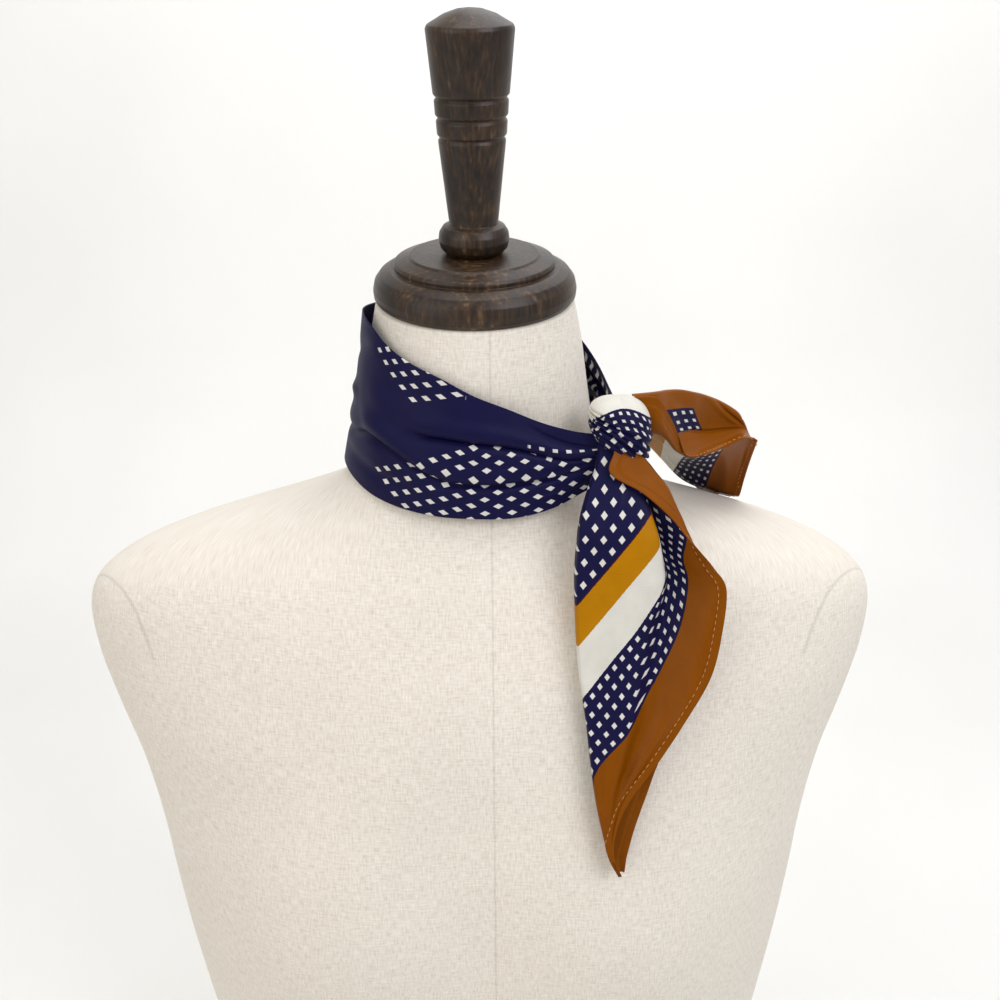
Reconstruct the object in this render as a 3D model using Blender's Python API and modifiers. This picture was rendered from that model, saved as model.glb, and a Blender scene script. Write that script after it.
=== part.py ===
"""A silk square scarf, folded into a band and knotted at the side of the neck of a limbless dress form.

Blender 4.5: blender --background --python part.py
Sizes in the tables are millimetres; the model is in metres, +Z up, the front of the form faces -Y, and it
stands on the plane Z = 0 with its origin under the middle of its outline.
"""

import math
from collections import namedtuple

import bmesh
import bpy
from mathutils import Vector

MM = 0.001

# ---------------------------------------------------------------- driving sizes, in millimetres
WALL = 1.2  # the modelled wall of the cloth
SEAM_GAP = 0.4  # between two pieces that touch
KNOT_GAP = 0.6  # between the knot and the cloth that goes into it, along the knot's own radii
NECK_TOP = 623.2  # middle of the neck's cut top
NECK_LEAN = 9.3  # degrees that the neck and its cap lean forward
NECK_AXIS_SLOPE = 0.14  # how far the neck's axis moves back for each millimetre down
NECK_AXIS_TOP = 620.0  # height where that axis is over the form's middle
BUST_RISE, BUST_SIDE, BUST_HEIGHT, BUST_SPREAD = 18.0, 80.0, 325.0, 44.0
BUST_FADE = 1.6  # how soon the bust's rise is whole, from the form's sides to its front
SHOULDER_FLOOR = 430.0  # below this height the form is all under the scarf

FORM_RING_SIDES = 40
FORM_RINGS = 36
TURNED_SIDES = 32
BAND_STEPS, BAND_ACROSS = 88, 13
TAIL_STEPS, TAIL_CELLS = 30, (4, 3, 3, 3, 2, 1, 2, 2, 1, 3, 3)
HOOD_STEPS, HOOD_CELLS = 24, (3, 3, 5, 3, 6)  # the cells across: each stretch between its points
FALL_STEPS, FALL_ACROSS = 16, 10
KNOT_AROUND, KNOT_ALONG = 28, 16

# The form, from its foot to the cut of its neck: half width, reach to the front and to the back,
# squareness of the section (2 is an ellipse), and how far the section leans forward in degrees.
FormRow = namedtuple("FormRow", "height half_width front back square lean")
FORM_ROWS = [
    FormRow(0, 156, 98, 106, 2.3, 0),
    FormRow(50, 152, 98, 105, 2.3, 0),
    FormRow(110, 145, 93, 96, 2.25, 0),
    FormRow(165, 147, 90, 92, 2.2, 0),
    FormRow(220, 156, 91, 94, 2.2, 0),
    FormRow(275, 164, 94, 98, 2.2, 0),
    FormRow(320, 169, 97, 104, 2.2, 0),
    FormRow(360, 173, 98, 108, 2.2, 0),
    FormRow(395, 180, 96, 109.1, 2.15, 0),
    FormRow(425, 189.5, 92, 109.1, 2.1, 0),
    FormRow(452, 197, 85, 108, 2.05, 0),
    FormRow(475, 198.5, 77, 104, 2, 0),
    FormRow(490, 190, 71, 100, 2, 0),
    FormRow(501, 170, 66, 96, 2, 0),
    FormRow(510, 142, 61, 90, 2, 0),
    FormRow(519, 109, 56.5, 83.5, 2, 0),
    FormRow(529, 78.5, 52.5, 77, 2, 0),
    FormRow(541, 63, 49.6, 71.5, 2, 0),
    FormRow(555, 58, 49.3, 68, 2, 2),
    FormRow(578, 53.8, 48, 61, 2, 5),
    FormRow(600, 50.8, 48.4, 53.6, 2, 8),
    FormRow(611, 48.9, 47.8, 49.6, 2, 9),
    FormRow(NECK_TOP - SEAM_GAP, 46.4, 46.4, 46.4, 2, NECK_LEAN),
]

# Turned wood: radius and height above the cut of the neck, from the top down.
TurnRow = namedtuple("TurnRow", "radius height")
FINIAL_ROWS = [
    TurnRow(0, 124.4),
    TurnRow(5.5, 123.8),
    TurnRow(11, 122.0),
    TurnRow(18.2, 118.0),
    TurnRow(18.9, 116.4),
    TurnRow(16.6, 90.8),
    TurnRow(15.2, 89.4),
    TurnRow(16.2, 88.2),
    TurnRow(15.9, 82.4),
    TurnRow(14.6, 81.0),
    TurnRow(15.6, 79.8),
    TurnRow(15.3, 74.2),
    TurnRow(14.0, 73.0),
    TurnRow(14.9, 71.6),
    TurnRow(11.1, 35.4),
    TurnRow(14.0, 34.2),
    TurnRow(15.8, 31.4),
    TurnRow(16.2, 28.2),
    TurnRow(15.4, 24.6),
    TurnRow(12.8, 21.9),
    TurnRow(0, 21.9),
]
NECK_CAP_ROWS = [
    TurnRow(0, 21.6),
    TurnRow(29.6, 21.6),
    TurnRow(30.6, 20.7),
    TurnRow(36.6, 18.8),
    TurnRow(37.4, 17.6),
    TurnRow(37.0, 15.8),
    TurnRow(39.6, 15.6),
    TurnRow(43.8, 13.4),
    TurnRow(46.4, 10.0),
    TurnRow(47.3, 6.0),
    TurnRow(47.0, 2.6),
    TurnRow(45.4, 0.5),
    TurnRow(44.0, 0),
    TurnRow(0, 0),
]

# The band round the neck. turn is the angle from the front towards the wearer's right, seen from the knot
# on round the neck; top and low are the heights of its edges, and the radii are from the leaning neck axis.
BandRow = namedtuple("BandRow", "turn top low radius_top radius_middle radius_low")
BAND_ROWS = [
    BandRow(-48, 570, 549, 82, 84, 83),
    BandRow(-40, 571.5, 543, 73, 77, 76),
    BandRow(-30, 575.3, 537, 64, 70, 72),
    BandRow(-15, 582.7, 534, 58.5, 66, 70.5),
    BandRow(0, 589, 534, 56.3, 64.5, 69.5),
    BandRow(15, 596.5, 534.5, 55.4, 64, 69),
    BandRow(30, 602, 536, 54.8, 63.5, 68.5),
    BandRow(45, 608, 538.5, 54, 62.8, 68),
    BandRow(60, 615, 542, 53.4, 61.4, 67.2),
    BandRow(75, 618.5, 545, 53, 60.6, 66.8),
    BandRow(90, 619, 546, 52.9, 60.3, 66.4),
    BandRow(120, 618, 550, 53.2, 60.4, 66),
    BandRow(150, 618, 554, 54, 61.5, 66),
    BandRow(180, 616, 556, 54.2, 61.5, 66),
    BandRow(210, 611, 556, 54.8, 61.5, 66),
    BandRow(240, 601, 555, 56, 62, 66.5),
    BandRow(262, 591, 554, 58.5, 64, 67.5),
    BandRow(280, 583, 554, 63.5, 67.5, 70),
    BandRow(292, 577, 555, 71, 74, 75.5),
    BandRow(300, 574, 556, 79, 81, 81.5),
]

# The band's folds: troughs that run round it. Each has four turns, the share of the band's height at each
# (0 at the top edge), its depth, its width as a share of the height, and how far the cloth above laps over.
# The lap is cloth just above the trough that stands out and is drawn down.
FoldRow = namedtuple("FoldRow", "turns places depth width lap")
BAND_FOLDS = [
    FoldRow((34, 10, -20, -50), (0.50, 0.437, 0.368, 0.475), 3.6, 0.050, 3.0),
    FoldRow((100, 45, 8, -44), (0.66, 0.613, 0.747, 0.57), 2.4, 0.060, 1.2),
    FoldRow((86, 60, 40, 16), (0.86, 0.826, 0.811, 0.871), 1.3, 0.050, 0.0),
    FoldRow((292, 240, 180, 104), (0.42, 0.50, 0.56, 0.64), 2.4, 0.070, 1.2),
    FoldRow((296, 250, 200, 120), (0.74, 0.78, 0.82, 0.86), 1.4, 0.055, 0.0),
    FoldRow((270, 225, 180, 130), (0.24, 0.27, 0.26, 0.30), 1.4, 0.060, 0.0),
]
BAND_END_FADE = 14.0  # degrees from the band's ends over which its folds come to their whole depth
FOLD_END_FADE = 16.0  # degrees over which each fold runs out at its own ends
FOLD_AT_BAND_END = 0.35  # share of a fold's depth that is left at the band's ends
LAP_STAND_OUT = 0.45  # how far a lap stands out for each millimetre that it is drawn down
LAP_SWELL_AT, LAP_SWELL_WIDTH, LAP_PULL_AT = 1.6, 1.3, 0.9  # above the trough, in its widths

# The knot: a rounded barrel whose lower rim slants down to the wearer's left, with gathers that run round it.
KNOT_MIDDLE = (64.5, -45.0, 572.6)
KNOT_HALF_SIZES = (14.3, 14.0, 14.2)  # across, deep and high
KNOT_SQUARE = 2.6
KNOT_SLANT = 0.5  # how far the lower rim falls for each millimetre to the wearer's left
KNOT_PLEATS = (-0.72, -0.46, -0.20, 0.06)  # places between the lower rim at -1 and the upper at 1
KNOT_PLEAT_DEPTH, KNOT_PLEAT_WIDTH, KNOT_PLEAT_SWING = 0.9, 0.075, 0.10

# The tail that hangs in front, from inside the knot to its tip. Each row is a level section: how far in
# front of the axis its cloth hangs, then the places to the wearer's left of the hem, of the turn where its
# flap starts, of a valley, of the ridge, of the fold at its side and of the hem of its back layer.
# hem_back is how far behind the cloth the hem lies, and fullness scales how deep the section is.
TailRow = namedtuple("TailRow", "height sheet hem hem_back turn valley ridge left back fullness")
TAIL_ROWS = [
    TailRow(575, 50, 60, -5, 72, 67, 63, 56, 68, 0.4),
    TailRow(565, 56.5, 57, -5, 72, 68, 65, 54.5, 69, 0.4),
    TailRow(557, 60.5, 60.5, -5, 78, 72, 68, 52.8, 70, 0.4),
    TailRow(550, 64, 70.5, -5, 84, 76, 71, 49.5, 72, 0.5),
    TailRow(541, 69.5, 80, -5, 88, 80, 73.5, 46.5, 76, 0.75),
    TailRow(533, 73, 89.5, -5, 92.5, 83, 76, 44.8, 79, 0.95),
    TailRow(526, 74.5, 97, -4.5, 95.5, 84.5, 78, 44.2, 81.5, 1.0),
    TailRow(518, 76, 103.5, -1.5, 99.5, 87, 80, 43.5, 84.5, 1.0),
    TailRow(508, 78, 109.5, 0.5, 104.5, 88, 81, 43.3, 86, 1.0),
    TailRow(490, 82.5, 108, 0, 101, 84, 74, 43.7, 89, 0.85),
    TailRow(470, 88, 103, 0, 96, 80, 70, 45, 92, 0.65),
    TailRow(450, 94, 91, 0, 86.5, 75, 67, 48, 92.5, 0.5),
    TailRow(432, 99.5, 78.5, 0, 74.5, 68, 62.5, 50, 82, 0.45),
    TailRow(415, 103.5, 67.3, 0, 65.4, 62.2, 59.6, 52.3, 75.5, 0.4),
    TailRow(400, 106, 63.4, 0, 62, 60.6, 59.2, 55.1, 70.8, 0.35),
    TailRow(381, 109.2, 64.2, 0, 63.4, 62.6, 61.8, 59, 66.6, 0.25),
]
TAIL_VALLEY, TAIL_CROWN, TAIL_BACK = 10.0, 3.0, 10.5  # depths at a fullness of 1
TAIL_LAYER_GAP = 2.4  # from the front layer to the back one at a fullness of 0
TAIL_TURN_ROUND, TAIL_TURN_BEVEL = 2.6, 0.29  # the side fold's reach, and its bevel's share of that
TAIL_RIDGE_RISE, TAIL_BACK_BOW = 0.5, 0.6  # how far the ridge and the back layer's middle stand out
TAIL_RIDGE_SHARE, TAIL_VALLEY_SHARE, TAIL_TURN_SHARE = 0.05, 0.03, 0.6  # limits where the tail is narrow

# The tail behind, as a hood that is open to the front: from the knot on, the points of each row are its
# lip, the foot of its front, the crease at its back, its ridge and where it ends behind the shoulder.
HoodRow = namedtuple("HoodRow", "lip foot crease ridge low")
HOOD_ROWS = [
    HoodRow((70, -44, 586), (71, -43, 570), (72, -38, 569), (71, -34, 584), (73, -26, 562)),
    HoodRow((80, -45, 586), (80, -44.5, 572), (82, -38, 568), (81, -30, 584), (82, -6, 562)),
    HoodRow((86.5, -40, 577.5), (86, -39.5, 566), (90, -30, 564), (89.5, -18, 582), (90, 20, 557)),
    HoodRow((92, -35, 567), (92.5, -31.8, 557.5), (97, -17, 561.5), (97, -10, 580), (97, 44, 546)),
    HoodRow((97.2, -31.4, 554.8), (100.7, -25.2, 552.4), (104, -8, 560), (104.5, -3, 577), (103, 60, 533)),
    HoodRow((109, -20, 551.5), (110, -16, 551.6), (113, 3, 556.5), (111.5, 5, 573.5), (110, 72, 520)),
    HoodRow((120, -6, 550.3), (121, -2, 550.6), (125, 11, 555), (121.5, 13, 568), (118, 78, 508)),
    HoodRow((132.6, 1, 553), (133, 5, 552.8), (134.5, 15, 553.8), (131.5, 17, 561), (128, 78, 496)),
    HoodRow((139, 6, 547.6), (139, 10, 547.4), (138, 17, 548), (136, 22, 553), (134, 74, 488)),
]
RIDGE_ROUNDING = 2.2
FORM_CLEARANCE = 1.8  # of the back tail, from the shoulder to the surface that shows, with its wall
RESTING_BEND = 3.0
# The same tail under the hood: the layer that falls behind the shoulder, from the knot to its hem. Each
# row runs from its top to where it ends, and bow is how far its middle stands off the line between them.
FallRow = namedtuple("FallRow", "top low bow")
FALL_ROWS = [
    FallRow((77, -32, 568.5), (81, 4, 551), 0),
    FallRow((83, -31, 567), (87, 16, 545), 0),
    FallRow((88.5, -28, 562), (96, 32, 533), 0.5),
    FallRow((94.5, -23.5, 554.8), (101, 41, 526), 1),
    FallRow((103, -18.5, 550.2), (108, 49, 517), 2),
    FallRow((113, -10, 549.6), (117, 57, 506), 3),
    FallRow((124, 0, 548.4), (127, 60, 494), 4),
    FallRow((134.5, 8, 548.5), (136, 56, 485), 4),
    FallRow((140.6, 11.5, 543.2), (140, 52, 482), 4),
]
FALL_BOW_WAY = Vector((0, 0.4, 0.9))  # up and a little to the back


# ---------------------------------------------------------------- helpers
def curve_through(knots, values, at):
    """A smooth curve through the values, flat at both ends, read at one place."""
    last = len(knots) - 1
    rising = knots[-1] > knots[0]
    if (at <= knots[0]) == rising:
        return values[0]
    if (at >= knots[-1]) == rising:
        return values[-1]
    i = next(k for k in range(last) if (at < knots[k + 1]) == rising)

    def slope(k):
        low, high = max(k - 1, 0), min(k + 1, last)
        return (values[high] - values[low]) / (knots[high] - knots[low])

    span = knots[i + 1] - knots[i]
    t = (at - knots[i]) / span
    start, end = slope(i) * span, slope(i + 1) * span
    return (
        (2 * t**3 - 3 * t**2 + 1) * values[i]
        + (t**3 - 2 * t**2 + t) * start
        + (3 * t**2 - 2 * t**3) * values[i + 1]
        + (t**3 - t**2) * end
    )


def row_at(rows, share):
    """The table's row at a share of its length, with every column interpolated."""
    kind = type(rows[0])
    places = list(range(len(rows)))
    at = share * (len(rows) - 1)
    return kind(*(curve_through(places, [row[c] for row in rows], at) for c in range(len(kind._fields))))


def row_by_key(rows, at):
    """The table's row where its first column has this value."""
    kind = type(rows[0])
    keys = [row[0] for row in rows]
    rest = (curve_through(keys, [row[c] for row in rows], at) for c in range(1, len(kind._fields)))
    return kind(at, *rest)


def signed_power(value, power):
    return math.copysign(abs(value) ** power, value)


def smooth_step(value):
    t = min(max(value, 0.0), 1.0)
    return t * t * (3 - 2 * t)


def bell(distance, width):
    return math.exp(-((distance / width) ** 2))


def spline_point(points, share, cells=None):
    """A point along a smooth curve through the points, evenly by length or with set cells in each stretch."""
    reached = [0.0]
    for start, end in zip(points, points[1:]):
        reached.append(reached[-1] + (Vector(end) - Vector(start)).length)
    at = share * reached[-1]
    if cells:
        cell = share * sum(cells)
        k = 0
        while k < len(cells) - 1 and cell > cells[k]:
            cell -= cells[k]
            k += 1
        at = reached[k] + (reached[k + 1] - reached[k]) * cell / cells[k]
    return Vector(curve_through(reached, [p[c] for p in points], at) for c in range(3))


# ---------------------------------------------------------------- scene
def clear_scene():
    for obj in list(bpy.data.objects):
        bpy.data.objects.remove(obj)


def new_collection(name):
    made = bpy.data.collections.new(name)
    bpy.context.scene.collection.children.link(made)
    return made


def make_material(name, colour, roughness):
    made = bpy.data.materials.new(name)
    made.use_nodes = True
    shader = made.node_tree.nodes["Principled BSDF"]
    shader.inputs["Base Color"].default_value = (*colour, 1)
    shader.inputs["Roughness"].default_value = roughness
    shader.inputs["Metallic"].default_value = 0
    return made


def add_object(name, bm, collection, material):
    """Makes the bmesh an object of the collection, in metres and smooth."""
    bmesh.ops.scale(bm, vec=(MM, MM, MM), verts=bm.verts)
    mesh = bpy.data.meshes.new(name)
    bm.to_mesh(mesh)
    bm.free()
    mesh.materials.append(material)
    mesh.shade_smooth()
    obj = bpy.data.objects.new(name, mesh)
    collection.objects.link(obj)
    return obj


def add_wall(obj, side=-1):
    """Gives an open cloth surface its wall: side -1 is behind the surface's normals, 1 in front of them."""
    wall = obj.modifiers.new("wall", "SOLIDIFY")
    wall.thickness = WALL * MM
    wall.offset = side
    wall.use_even_offset = False
    return wall


def cloth_grid(steps, across, point_at):
    """An open sheet: a grid whose points go to point_at(share along, share across)."""
    bm = bmesh.new()
    bmesh.ops.create_grid(bm, x_segments=steps, y_segments=across, size=0.5)
    for vert in bm.verts:
        vert.co = point_at(vert.co.x + 0.5, vert.co.y + 0.5)
    return bm


# ---------------------------------------------------------------- the dress form
def form_point(row, angle):
    """A point of the form's section, angle running from the wearer's left to the back."""
    across, deep = math.cos(angle), math.sin(angle)
    x = row.half_width * signed_power(across, 2 / row.square)
    reach = row.back if deep > 0 else row.front
    y = reach * signed_power(deep, 2 / row.square)
    aside = abs(x) - BUST_SIDE
    away = math.hypot(aside, row.height - BUST_HEIGHT)
    y -= BUST_RISE * math.exp(-(away**2) / (2 * BUST_SPREAD**2)) * smooth_step(-deep * BUST_FADE)
    z = row.height + y * math.tan(math.radians(row.lean))
    return Vector((x, y, z))


def form_height_at(x, y):
    """How high the shoulder's surface is above a point of the plan."""
    low, high = SHOULDER_FLOOR, NECK_TOP
    while high - low > 0.001:
        middle = (low + high) / 2
        row = row_by_key(FORM_ROWS, middle)
        reach = row.back if y > 0 else row.front
        inside = abs(x / row.half_width) ** row.square + abs(y / reach) ** row.square < 1
        low, high = (middle, high) if inside else (low, middle)
    return low


def build_form(collection, linen):
    bm = bmesh.new()
    rings = []
    turn = 2 * math.pi / FORM_RING_SIDES
    for k in range(FORM_RINGS):
        row = row_at(FORM_ROWS, k / (FORM_RINGS - 1))
        rings.append([bm.verts.new(form_point(row, turn * i)) for i in range(FORM_RING_SIDES)])
    edges = []
    for ring in rings:
        edges.append([bm.edges.new((ring[i - 1], ring[i])) for i in range(FORM_RING_SIDES)])
    for low, high in zip(edges, edges[1:]):
        bmesh.ops.bridge_loops(bm, edges=low + high)
    for ring in (rings[0], rings[-1]):
        bm.faces.new(ring)
    bmesh.ops.recalc_face_normals(bm, faces=bm.faces)
    return add_object("form_body", bm, collection, linen)


def build_turned(name, rows, collection, wood):
    """A turned piece: its profile is spun round the leaning neck's axis by a Screw modifier."""
    bm = bmesh.new()
    verts = [bm.verts.new((row.radius, 0, row.height)) for row in rows]
    for upper, lower in zip(verts, verts[1:]):
        bm.edges.new((upper, lower))
    obj = add_object(name, bm, collection, wood)
    screw = obj.modifiers.new("lathe", "SCREW")
    screw.steps = screw.render_steps = TURNED_SIDES
    screw.use_merge_vertices = True
    screw.merge_threshold = 0.0001
    obj.location = (0, 0, NECK_TOP * MM)
    obj.rotation_euler = (math.radians(NECK_LEAN), 0, 0)
    obj.data.set_sharp_from_angle(angle=math.radians(40))
    return obj


# ---------------------------------------------------------------- the scarf
def neck_point(turn, radius, height):
    """A point round the leaning neck's axis."""
    angle = math.radians(turn)
    axis_y = (NECK_AXIS_TOP - height) * NECK_AXIS_SLOPE
    return Vector((-radius * math.sin(angle), axis_y - radius * math.cos(angle), height))


def band_point(along, across):
    """A point of the band: along from the knot round the neck, across from its top edge to its lower edge."""
    first, last = BAND_ROWS[0].turn, BAND_ROWS[-1].turn
    turn = first + along * (last - first)
    row = row_by_key(BAND_ROWS, turn)
    radius = curve_through((0, 0.5, 1), (row.radius_top, row.radius_middle, row.radius_low), across)
    height = row.top + across * (row.low - row.top)
    fade = smooth_step((turn - first) / BAND_END_FADE) * smooth_step((last - turn) / BAND_END_FADE)
    for fold in BAND_FOLDS:
        low, high = min(fold.turns), max(fold.turns)
        if not low < turn < high:
            continue
        place = curve_through(fold.turns, fold.places, turn)
        strength = smooth_step((turn - low) / FOLD_END_FADE) * smooth_step((high - turn) / FOLD_END_FADE)
        strength *= FOLD_AT_BAND_END + (1 - FOLD_AT_BAND_END) * fade
        widths_off = (across - place) / fold.width
        swell = bell(widths_off + LAP_SWELL_AT, LAP_SWELL_WIDTH)
        radius -= fold.depth * strength * bell(widths_off, 1)
        radius += LAP_STAND_OUT * fold.lap * strength * swell
        height -= fold.lap * strength * bell(widths_off + LAP_PULL_AT, 1)
    return neck_point(turn, radius, height)


def build_band(collection, silk):
    bm = cloth_grid(BAND_STEPS, BAND_ACROSS, band_point)
    obj = add_object("neck_band", bm, collection, silk)
    add_wall(obj)
    return obj


def knot_point(direction, grow=0.0):
    """A point of the knot's surface, direction being a unit vector from its middle."""
    angle = math.atan2(direction.y, direction.x)
    squared = sum(abs(c) ** KNOT_SQUARE for c in direction) ** (-1 / KNOT_SQUARE)
    inward = 0.0
    for place in KNOT_PLEATS:
        swung = place + KNOT_PLEAT_SWING * math.sin(angle)
        inward += KNOT_PLEAT_DEPTH * bell(direction.z - swung, KNOT_PLEAT_WIDTH)
    across, deep, high = ((half - inward + grow) * c * squared for half, c in zip(KNOT_HALF_SIZES, direction))
    high -= KNOT_SLANT * across * (1 - direction.z) / 2
    return Vector(KNOT_MIDDLE) + Vector((across, deep, high))


def knot_mesh(grow=0.0):
    bm = bmesh.new()
    bmesh.ops.create_uvsphere(bm, u_segments=KNOT_AROUND, v_segments=KNOT_ALONG, radius=1)
    for vert in bm.verts:
        vert.co = knot_point(vert.co.normalized(), grow)
    return bm


def tail_point(along, across):
    """A point of the front tail: along from the knot to the tip, across from its hem to its back hem."""
    row = row_at(TAIL_ROWS, along)
    front = -row.sheet
    behind = front + row.fullness * TAIL_BACK + TAIL_LAYER_GAP
    width = row.turn - row.ridge
    face = row.ridge - row.left
    crown = min(row.fullness * TAIL_CROWN, TAIL_RIDGE_SHARE * face)
    ridge = min(TAIL_RIDGE_RISE, TAIL_RIDGE_SHARE * width)
    valley = min(row.fullness * TAIL_VALLEY, TAIL_VALLEY_SHARE * width**2)
    inset = min(TAIL_TURN_ROUND, TAIL_TURN_SHARE * face)
    bevel = TAIL_TURN_BEVEL * inset
    keys = [
        (row.hem, front + row.hem_back, row.height),
        (row.turn, front, row.height),
        (row.valley, front + valley, row.height),
        (row.ridge, front - ridge, row.height),
        ((row.ridge + row.left + inset) / 2, front - crown, row.height),
        (row.left + inset, front, row.height),
        (row.left + bevel, front + bevel, row.height),
        (row.left, (front + behind) / 2, row.height),
        (row.left + bevel, behind - bevel, row.height),
        (row.left + inset, behind, row.height),
        ((row.left + row.back) / 2, behind + TAIL_BACK_BOW, row.height),
        (row.back, behind, row.height),
    ]
    return spline_point(keys, across, TAIL_CELLS)


def rest_on_form(point):
    """Lifts a point of the cloth clear of the shoulder, with a soft bend where it comes to lie on it."""
    resting = form_height_at(point.x, point.y) + FORM_CLEARANCE
    gap = point.z - resting
    point.z = resting + (gap + math.hypot(gap, RESTING_BEND)) / 2
    return point


def hood_point(along, across):
    """A point of the back tail's hood: along from the knot, across from its lip to its end behind."""
    places = list(range(len(HOOD_ROWS)))
    at = along * (len(HOOD_ROWS) - 1)
    keys = []
    for column in HoodRow._fields:
        keys.append([curve_through(places, [getattr(r, column)[c] for r in HOOD_ROWS], at) for c in range(3)])
    lip, foot, crease, (x, y, z), low = keys
    front_of_ridge = (x, y - RIDGE_ROUNDING, z)
    back_of_ridge = (x, y + RIDGE_ROUNDING, z)
    section = (lip, foot, crease, front_of_ridge, back_of_ridge, low)
    return rest_on_form(spline_point(section, across, HOOD_CELLS))


def fall_point(along, across):
    """A point of the back tail's lower layer: along from the knot to its hem, across from top to end."""
    places = list(range(len(FALL_ROWS)))
    at = along * (len(FALL_ROWS) - 1)
    top = Vector(curve_through(places, [r.top[c] for r in FALL_ROWS], at) for c in range(3))
    low = Vector(curve_through(places, [r.low[c] for r in FALL_ROWS], at) for c in range(3))
    bow = curve_through(places, [r.bow for r in FALL_ROWS], at)
    return rest_on_form(top.lerp(low, across) + FALL_BOW_WAY * bow * math.sin(math.pi * across))


def cut_by_knot(obj, cutter):
    """Ends a stretch of cloth at the knot, just short of it."""
    cut = obj.modifiers.new("end_at_knot", "BOOLEAN")
    cut.operation = "DIFFERENCE"
    cut.solver = "EXACT"
    cut.object = cutter


def build_scarf(collection, cutters, silk):
    knot = add_object("knot", knot_mesh(), collection, silk)
    cutter = add_object("knot_cutter", knot_mesh(KNOT_GAP), cutters, silk)
    cutter.hide_render = True
    cutter.display_type = "WIRE"
    band = build_band(collection, silk)
    tail = add_object("front_tail", cloth_grid(TAIL_STEPS, sum(TAIL_CELLS), tail_point), collection, silk)
    add_wall(tail, side=1)
    hood = add_object("back_tail_hood", cloth_grid(HOOD_STEPS, sum(HOOD_CELLS), hood_point), collection, silk)
    add_wall(hood)
    fall = add_object("back_tail_fall", cloth_grid(FALL_STEPS, FALL_ACROSS, fall_point), collection, silk)
    add_wall(fall)
    for piece in (band, tail, hood, fall):
        cut_by_knot(piece, cutter)


def main():
    clear_scene()
    parts = new_collection("scarf_on_dress_form")
    cutters = new_collection("cutters")
    linen = make_material("linen_cover", (0.80, 0.74, 0.65), 0.9)
    wood = make_material("stained_wood", (0.10, 0.06, 0.04), 0.45)
    silk = make_material("printed_silk", (0.02, 0.02, 0.10), 0.4)
    build_form(parts, linen)
    build_turned("neck_cap", NECK_CAP_ROWS, parts, wood)
    build_turned("finial", FINIAL_ROWS, parts, wood)
    build_scarf(parts, cutters, silk)


main()
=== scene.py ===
"""A silk square scarf, folded into a band and knotted at the side of the neck of a linen-covered dress form.

Sizes in the tables are millimetres. The front of the form faces -Y.
"""

from collections import namedtuple
from functools import partial
from math import atan2, copysign, cos, exp, hypot, pi, radians, sin, tan

import bmesh
import bpy
from mathutils import Matrix, Vector


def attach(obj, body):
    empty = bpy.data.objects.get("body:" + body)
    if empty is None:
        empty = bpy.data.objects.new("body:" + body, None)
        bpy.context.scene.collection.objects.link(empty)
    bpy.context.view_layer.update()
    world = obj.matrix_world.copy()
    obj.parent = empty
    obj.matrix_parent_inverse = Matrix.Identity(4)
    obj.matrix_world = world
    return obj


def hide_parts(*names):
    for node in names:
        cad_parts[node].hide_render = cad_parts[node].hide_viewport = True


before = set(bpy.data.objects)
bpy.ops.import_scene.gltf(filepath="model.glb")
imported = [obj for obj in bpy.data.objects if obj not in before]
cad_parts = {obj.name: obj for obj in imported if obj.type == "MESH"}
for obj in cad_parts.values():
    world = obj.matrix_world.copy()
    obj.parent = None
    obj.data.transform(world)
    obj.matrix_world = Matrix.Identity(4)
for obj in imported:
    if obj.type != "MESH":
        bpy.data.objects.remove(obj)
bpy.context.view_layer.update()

MM = 0.001
TINY = 1e-6


def table(columns, *rows):
    """A table: its rows, with their columns named."""
    kind = namedtuple("Row", columns)
    return [kind(*row) for row in rows]


# -------- driving sizes, in millimetres
SQUARE = 600  # side of the scarf's cut
CLOTH = 0.5  # the silk as it shows at its edges
NECK_TOP, NECK_LEAN = 623.2, 9.3
NECK_AXIS_SLOPE, NECK_AXIS_TOP = 0.14, 620
BUST_RISE, BUST_SIDE, BUST_HEIGHT, BUST_SPREAD, BUST_FADE = 18, 80, 325, 44, 1.6
SHOULDER_FLOOR = 430

# The print, from the hem in: satin border, small marks on navy, cream, ochre, a thin red line, the field.
BORDER_END, CREAM_START, CREAM_END, OCHRE_END, LINE_END = 24, 48, 62.8, 73.9, 74.6
SMALL_PITCH, SMALL_START, SMALL_ROWS = 4.75, 24.2, 5
FIELD_PITCH, FIELD_START = 5.9, 75
HEM_FOLD, HEM_RISE, HEM_EDGE = 4, 0.4, 0.6  # width of the doubled hem, its step up, and that step's width
STITCH_IN, STITCH_LENGTH, STITCH_WIDTH, STITCH_STEP, STITCH_RISE = 3.7, 2, 0.42, 3.1, 0.06

FORM_AROUND, FORM_LEVELS = 200, 190
LATHE_STEPS, LATHE_EASE, LATHE_CORNER = 160, 0.45, 14  # steps round, and the edges' radius and least turn
BAND_STEPS, BAND_ACROSS = 420, 96
TAIL_STEPS, TAIL_CELLS = 270, (22, 24, 16, 18, 18, 4, 4, 4, 4, 14, 20)
HOOD_STEPS, HOOD_CELLS = 150, (22, 26, 34, 12, 60)
FALL_STEPS, FALL_ACROSS = 150, 90
KNOT_AROUND, KNOT_ALONG = 180, 110

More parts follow.
